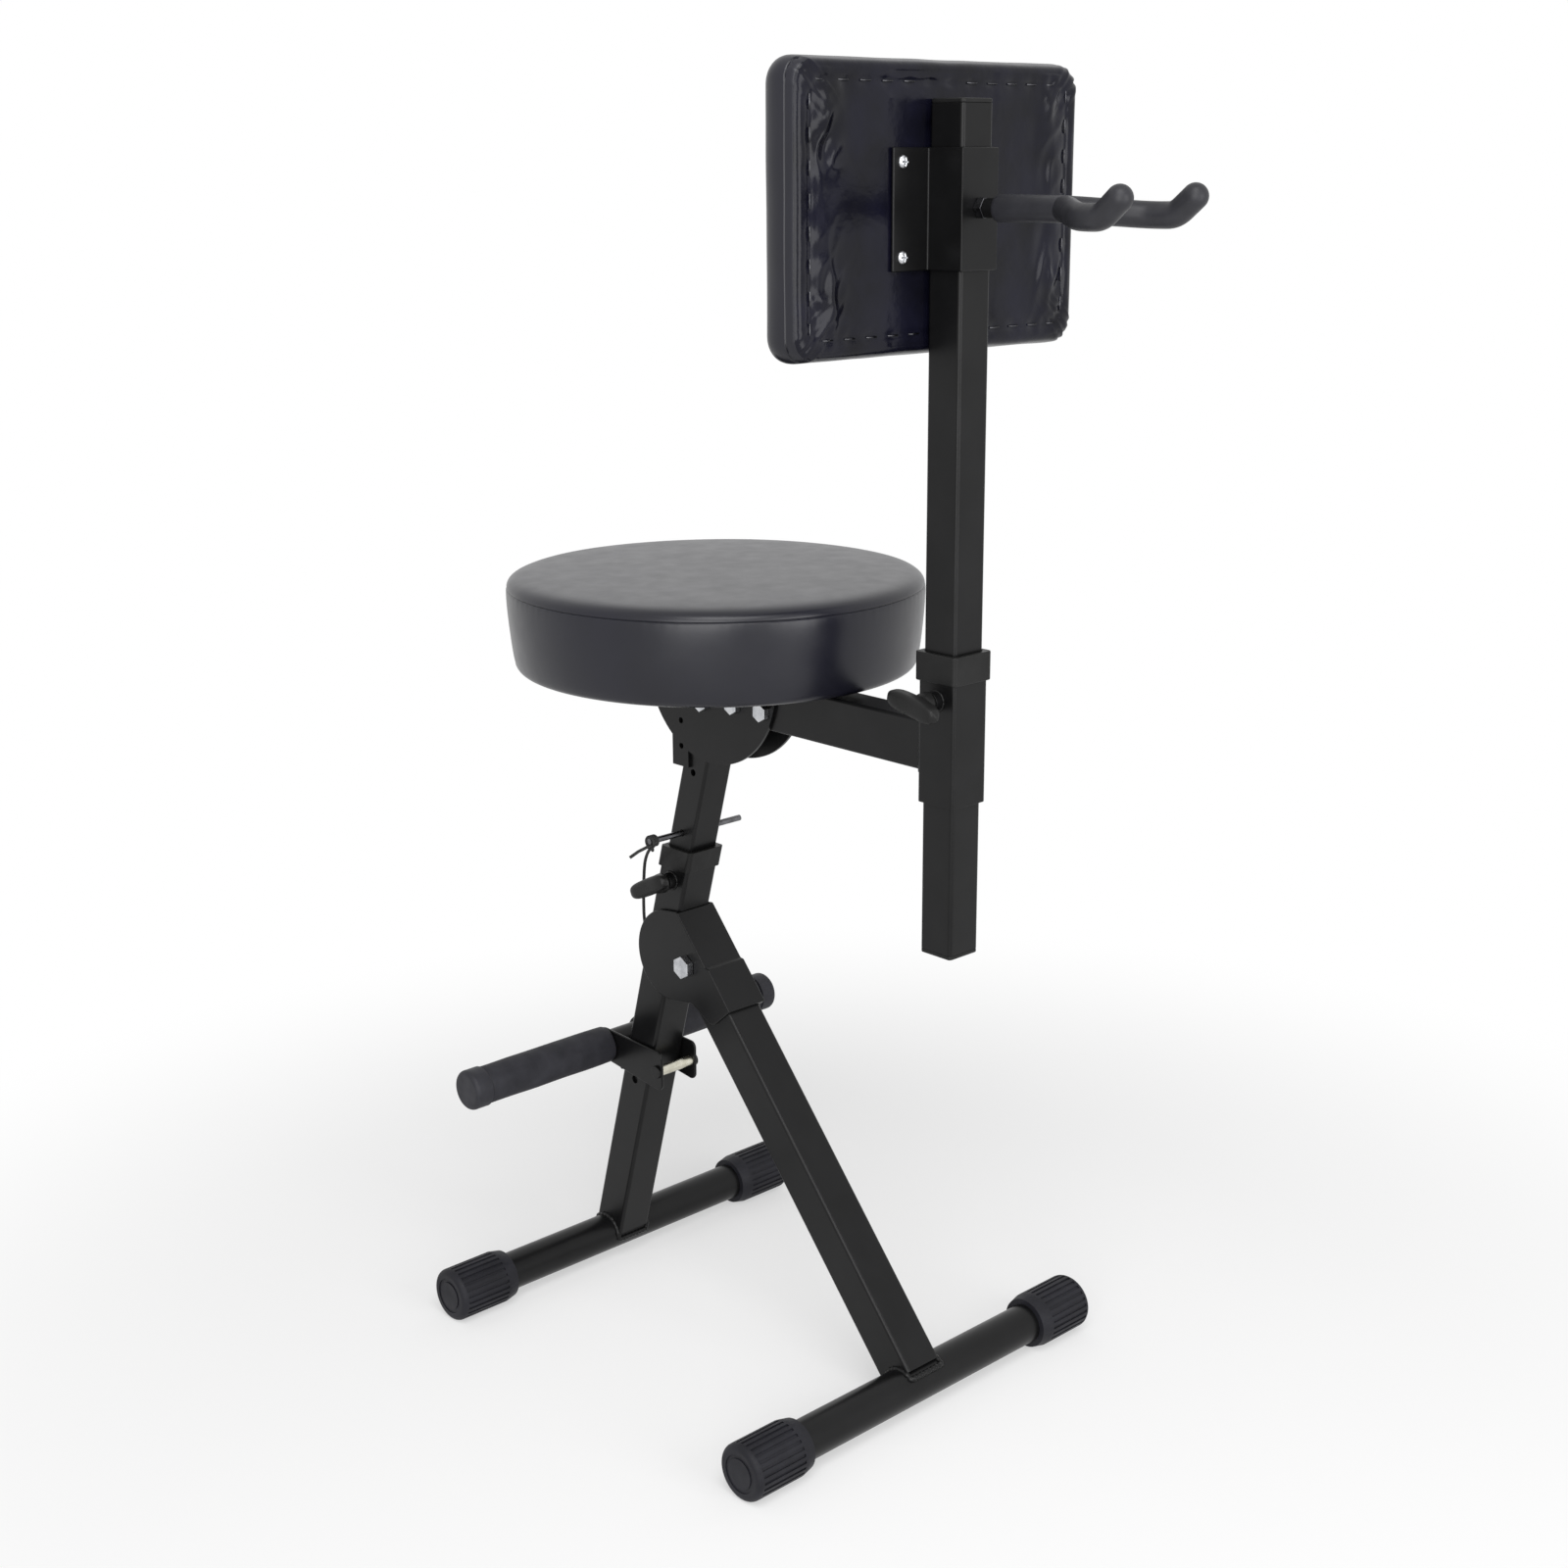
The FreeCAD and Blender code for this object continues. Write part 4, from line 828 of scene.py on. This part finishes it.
def saddle(bar_node, lean_deg, width_mm):
    """Where a leaning square tube meets its round floor bar."""
    low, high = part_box(bar_node)
    centre = (low + high) / 2
    radius = (high.z - low.z) / 2
    lean = math.radians(lean_deg)
    up = Vector((0, math.sin(lean), math.cos(lean)))
    across = Vector((0, math.cos(lean), -math.sin(lean)))
    path = []
    for x, n, _, _, _ in rounded_loop(width_mm, width_mm, TUBE_CORNER, SADDLE_POINTS):
        reach = math.sqrt(max(radius ** 2 - (n * MM) ** 2, (SADDLE_LEAST * MM) ** 2))
        path.append(Vector((centre.x + x * MM, centre.y, centre.z)) + across * n * MM + up * reach)
    path.append(path[0])
    return path


def ring_x(node, radius_mm):
    """A ring round a boss, where it meets its tube."""
    low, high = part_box(node)
    centre = (low + high) / 2
    pts = []
    for k in range(RING_POINTS + 1):
        a = 2 * math.pi * k / RING_POINTS
        pts.append(Vector((low.x, centre.y + radius_mm * MM * math.cos(a),
                           centre.z + radius_mm * MM * math.sin(a))))
    return pts


def weld_seams():
    low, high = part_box("backrest_arm")
    corners = ((low.x, low.z), (high.x, low.z), (high.x, high.z), (low.x, high.z), (low.x, low.z))
    arm_end = [Vector((x, high.y, z)) for x, z in corners]
    seams = [("front_leg_weld", saddle("front_floor_bar", LEG_LEAN, LEG_WIDE), FLOOR_BEAD, "front_frame"),
             ("rear_leg_weld", saddle("rear_floor_bar", -REAR_LEAN, REAR_WIDE), FLOOR_BEAD, "rear_frame"),
             ("arm_weld", arm_end, ARM_BEAD, "seat_assembly"),
             ("seat_boss_weld", ring_x("seat_clamp_boss", BOSS_R), BOSS_BEAD, "front_frame"),
             ("pole_boss_weld", ring_x("pole_clamp_boss", BOSS_R), BOSS_BEAD, "seat_assembly")]
    for i, (name, path, radius, body) in enumerate(seams):
        verts, faces = bead(path, radius, BEAD_SEED + i)
        add_piece(name, verts, faces, COAT, body)


# tether cord, mm: the part's own route from the pin's eye down to the leg
CORD_D = 2.6
CORD_ROUTE = [(46, -161.884, 416.2), (43.5, -168.829, 409.999), (35.5, -181.188, 402.548),
              (27, -195.122, 389.827), (20.5, -204.622, 370.676), (16.5, -210.462, 350.504),
              (14, -213.22, 329.47), (12, -211.05, 311.214)]
# its hitch round the pin: first turn, pitch and points of the coil, and the loose tail
HITCH_X = 42.5
HITCH_STEP = 0.1
HITCH_POINTS = 70
HITCH_TURN = 22
HITCH_TAIL = Vector((15, -9, -9))
LUMP_X = 46
LUMP_DROP = 1.2
LUMP_SIZE = 2.6
FOOT_SIZE = 2.2


def cord_radius(t):
    return CORD_D / 2 * MM


def knot(at, size_mm):
    """An overhand knot: a closed trefoil tube."""
    pts = []
    for i in range(61):
        t = 2 * math.pi * i / 60
        pts.append(at + Vector((math.sin(3 * t) * 0.6, math.cos(t) - 2 * math.cos(2 * t),
                                math.sin(t) + 2 * math.sin(2 * t))) * size_mm * 0.42 * MM)
    return tube(pts, cord_radius, 10)


def tether():
    route = [(x * MM, y * MM, z * MM) for x, y, z in CORD_ROUTE]
    path = spline_points(route, 14)
    verts, faces = tube(path, cord_radius, 14)
    cord = add_piece("tether", verts, faces, CORD, None, ("tether_cord",))
    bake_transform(cord)
    pin_low, pin_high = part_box("locking_pin")
    pin = (pin_low + pin_high) / 2
    r = (pin_high.z - pin_low.z) / 2 + CORD_D / 2 * MM
    coil = []
    for i in range(HITCH_POINTS):
        a = 2 * math.pi * i / HITCH_TURN - math.pi / 2
        coil.append(Vector(((HITCH_X + HITCH_STEP * i) * MM, pin.y + r * math.cos(a), pin.z + r * math.sin(a))))
    last = coil[-1]
    tail = last + HITCH_TAIL * MM
    loose = [last + Vector((4, -1, -1)) * MM, last.lerp(tail, 0.6) + Vector((0, 0, 1)) * MM, tail]
    hitch = tube(coil + loose, cord_radius, 12)
    lump_at = pin + Vector((LUMP_X * MM - pin.x, -1 * MM, -r - LUMP_DROP * MM))
    verts, faces = joined([hitch, knot(lump_at, LUMP_SIZE)])
    add_piece("tether_hitch", verts, faces, CORD, "locking_pin_body")
    verts, faces = knot(Vector(route[-1]), FOOT_SIZE)
    foot = add_piece("tether_foot_knot", verts, faces, CORD, "front_frame")


# strap screws, mm: domed heads with a cross recess
HEAD_R = 4.5
HEAD_RISE = 3.0
HEAD_BASE = 2.8
HEAD_ROWS = 14
HEAD_COLS = 48
CROSS_HALF = 0.55
CROSS_REACH = 0.62
CROSS_DEEP = 1.5


def cross_head(base):
    verts = []
    for i in range(HEAD_ROWS):
        t = i / (HEAD_ROWS - 1)
        r = HEAD_R * math.cos(t * math.pi / 2) if i else HEAD_R
        y = HEAD_RISE * math.sin(t * math.pi / 2) ** 0.8
        for k in range(HEAD_COLS):
            a = 2 * math.pi * k / HEAD_COLS
            x = r * math.cos(a)
            z = r * math.sin(a)
            arm = max(0.0, 1 - (min(abs(x), abs(z)) / CROSS_HALF) ** 4)
            slot = arm * max(0.0, 1 - (r / (HEAD_R * CROSS_REACH)) ** 6)
            verts.append(base + Vector((x, y - CROSS_DEEP * slot, z)) * MM)
    faces = grid_faces(HEAD_ROWS, HEAD_COLS) + end_caps(HEAD_ROWS, HEAD_COLS)
    return verts, [tuple(reversed(f)) for f in faces]


def screw_heads():
    """Round-headed screws with a cross recess on the backrest strap."""
    low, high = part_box("backrest_screws")
    parts = []
    for x in (low.x + HEAD_R * MM, high.x - HEAD_R * MM):
        for z in (low.z + HEAD_R * MM, high.z - HEAD_R * MM):
            parts.append(cross_head(Vector((x, high.y - HEAD_BASE * MM, z))))
    verts, faces = joined(parts)
    add_piece("strap_screws", verts, faces, ZINC, "backrest_assembly", ("backrest_screws",))


# floor and light: metres and watts; the floor runs out into white between the two distances
FLOOR_HALF = 30.0
FLOOR_FADE = (0.45, 1.1)
FLOOR_LIFT = 0.45
WORLD_FILL = 0.45
LAMP_AIM = Vector((0, 0, 0.5))
SOFTBOXES = [("top", (0.9, 1.1, 2.5), (1.4, 1.4), 26.0),
             ("front", (2.1, 1.65, 1.05), (1.7, 2.1), 40.0),
             ("side", (-0.1, 2.2, 0.85), (1.1, 1.6), 18.0)]


def seen_or_mirrored(tree):
    """1 on camera, glossy and transmission rays, else 0."""
    path = tree.nodes.new("ShaderNodeLightPath")
    level = path.outputs["Is Camera Ray"]
    for ray in ("Is Glossy Ray", "Is Transmission Ray"):
        either = tree.nodes.new("ShaderNodeMath")
        either.operation = "MAXIMUM"
        tree.links.new(level, either.inputs[0])
        tree.links.new(path.outputs[ray], either.inputs[1])
        level = either.outputs[0]
    return level


def fade_floor(s):
    """The floor keeps its shadow near the object and runs out into plain white further off."""
    away = s.tree.nodes.new("ShaderNodeVectorMath")
    away.operation = "LENGTH"
    s.link(s.coords, away.inputs[0])
    share = s.tree.nodes.new("ShaderNodeMapRange")
    share.interpolation_type = "SMOOTHSTEP"
    share.inputs["To Min"].default_value = FLOOR_LIFT
    share.inputs["From Min"].default_value = FLOOR_FADE[0]
    share.inputs["From Max"].default_value = FLOOR_FADE[1]
    s.link(away.outputs["Value"], share.inputs["Value"])
    factor = s.tree.nodes.new("ShaderNodeMath")
    factor.operation = "MULTIPLY"
    s.link(share.outputs["Result"], factor.inputs[0])
    s.link(seen_or_mirrored(s.tree), factor.inputs[1])
    white = s.tree.nodes.new("ShaderNodeEmission")
    white.inputs["Strength"].default_value = 1.0
    mix = s.tree.nodes.new("ShaderNodeMixShader")
    s.link(factor.outputs[0], mix.inputs[0])
    s.link(s.bsdf.outputs[0], mix.inputs[1])
    s.link(white.outputs[0], mix.inputs[2])
    s.link(mix.outputs[0], s.tree.nodes["Material Output"].inputs["Surface"])


def add_floor():
    mesh = bpy.data.meshes.new("floor")
    half = FLOOR_HALF
    corners = [(-half, -half, 0), (half, -half, 0), (half, half, 0), (-half, half, 0)]
    mesh.from_pydata(corners, [], [(0, 1, 2, 3)])
    s = Shader("floor", grey(0.93), rough=0.9, specular=0.0)
    s.colour(s.noise(3), grey(0.925), grey(0.935))
    fade_floor(s)
    mesh.materials.append(s.mat)
    floor = bpy.data.objects.new("floor", mesh)
    scene.collection.objects.link(floor)


def add_world():
    """White where it is seen or mirrored, and a plain fill on the object."""
    world = bpy.data.worlds.new("studio")
    scene.world = world
    world.use_nodes = True
    tree = world.node_tree
    background = tree.nodes["Background"]
    level = tree.nodes.new("ShaderNodeMapRange")
    level.inputs["To Min"].default_value = WORLD_FILL
    level.inputs["To Max"].default_value = 1.0
    tree.links.new(seen_or_mirrored(tree), level.inputs["Value"])
    tree.links.new(level.outputs["Result"], background.inputs["Strength"])
    background.inputs["Color"].default_value = (1, 1, 1, 1)


def add_lamps():
    for name, at, size, power in SOFTBOXES:
        data = bpy.data.lights.new(name, "AREA")
        data.shape = "RECTANGLE"
        data.size, data.size_y = size
        data.energy = power
        lamp = bpy.data.objects.new(name, data)
        scene.collection.objects.link(lamp)
        lamp.location = at
        lamp.rotation_euler = (LAMP_AIM - Vector(at)).to_track_quat("-Z", "Y").to_euler()


add_camera()
tether()
dress_cad_nodes()
seat_cushion()
backrest_pad()
hook_foams()
for side in ("left", "right"):
    foam_sleeve("footrest_pad_" + side, "footrest_grip_" + side, 0, GRIP_BORE_R, "footrest", FOAM)
wing_knob("seat_clamp_knob", "seat_clamp_knob_body")
wing_knob("pole_clamp_knob", "pole_clamp_knob_body")
screw_heads()
weld_seams()
add_floor()
add_world()
add_lamps()
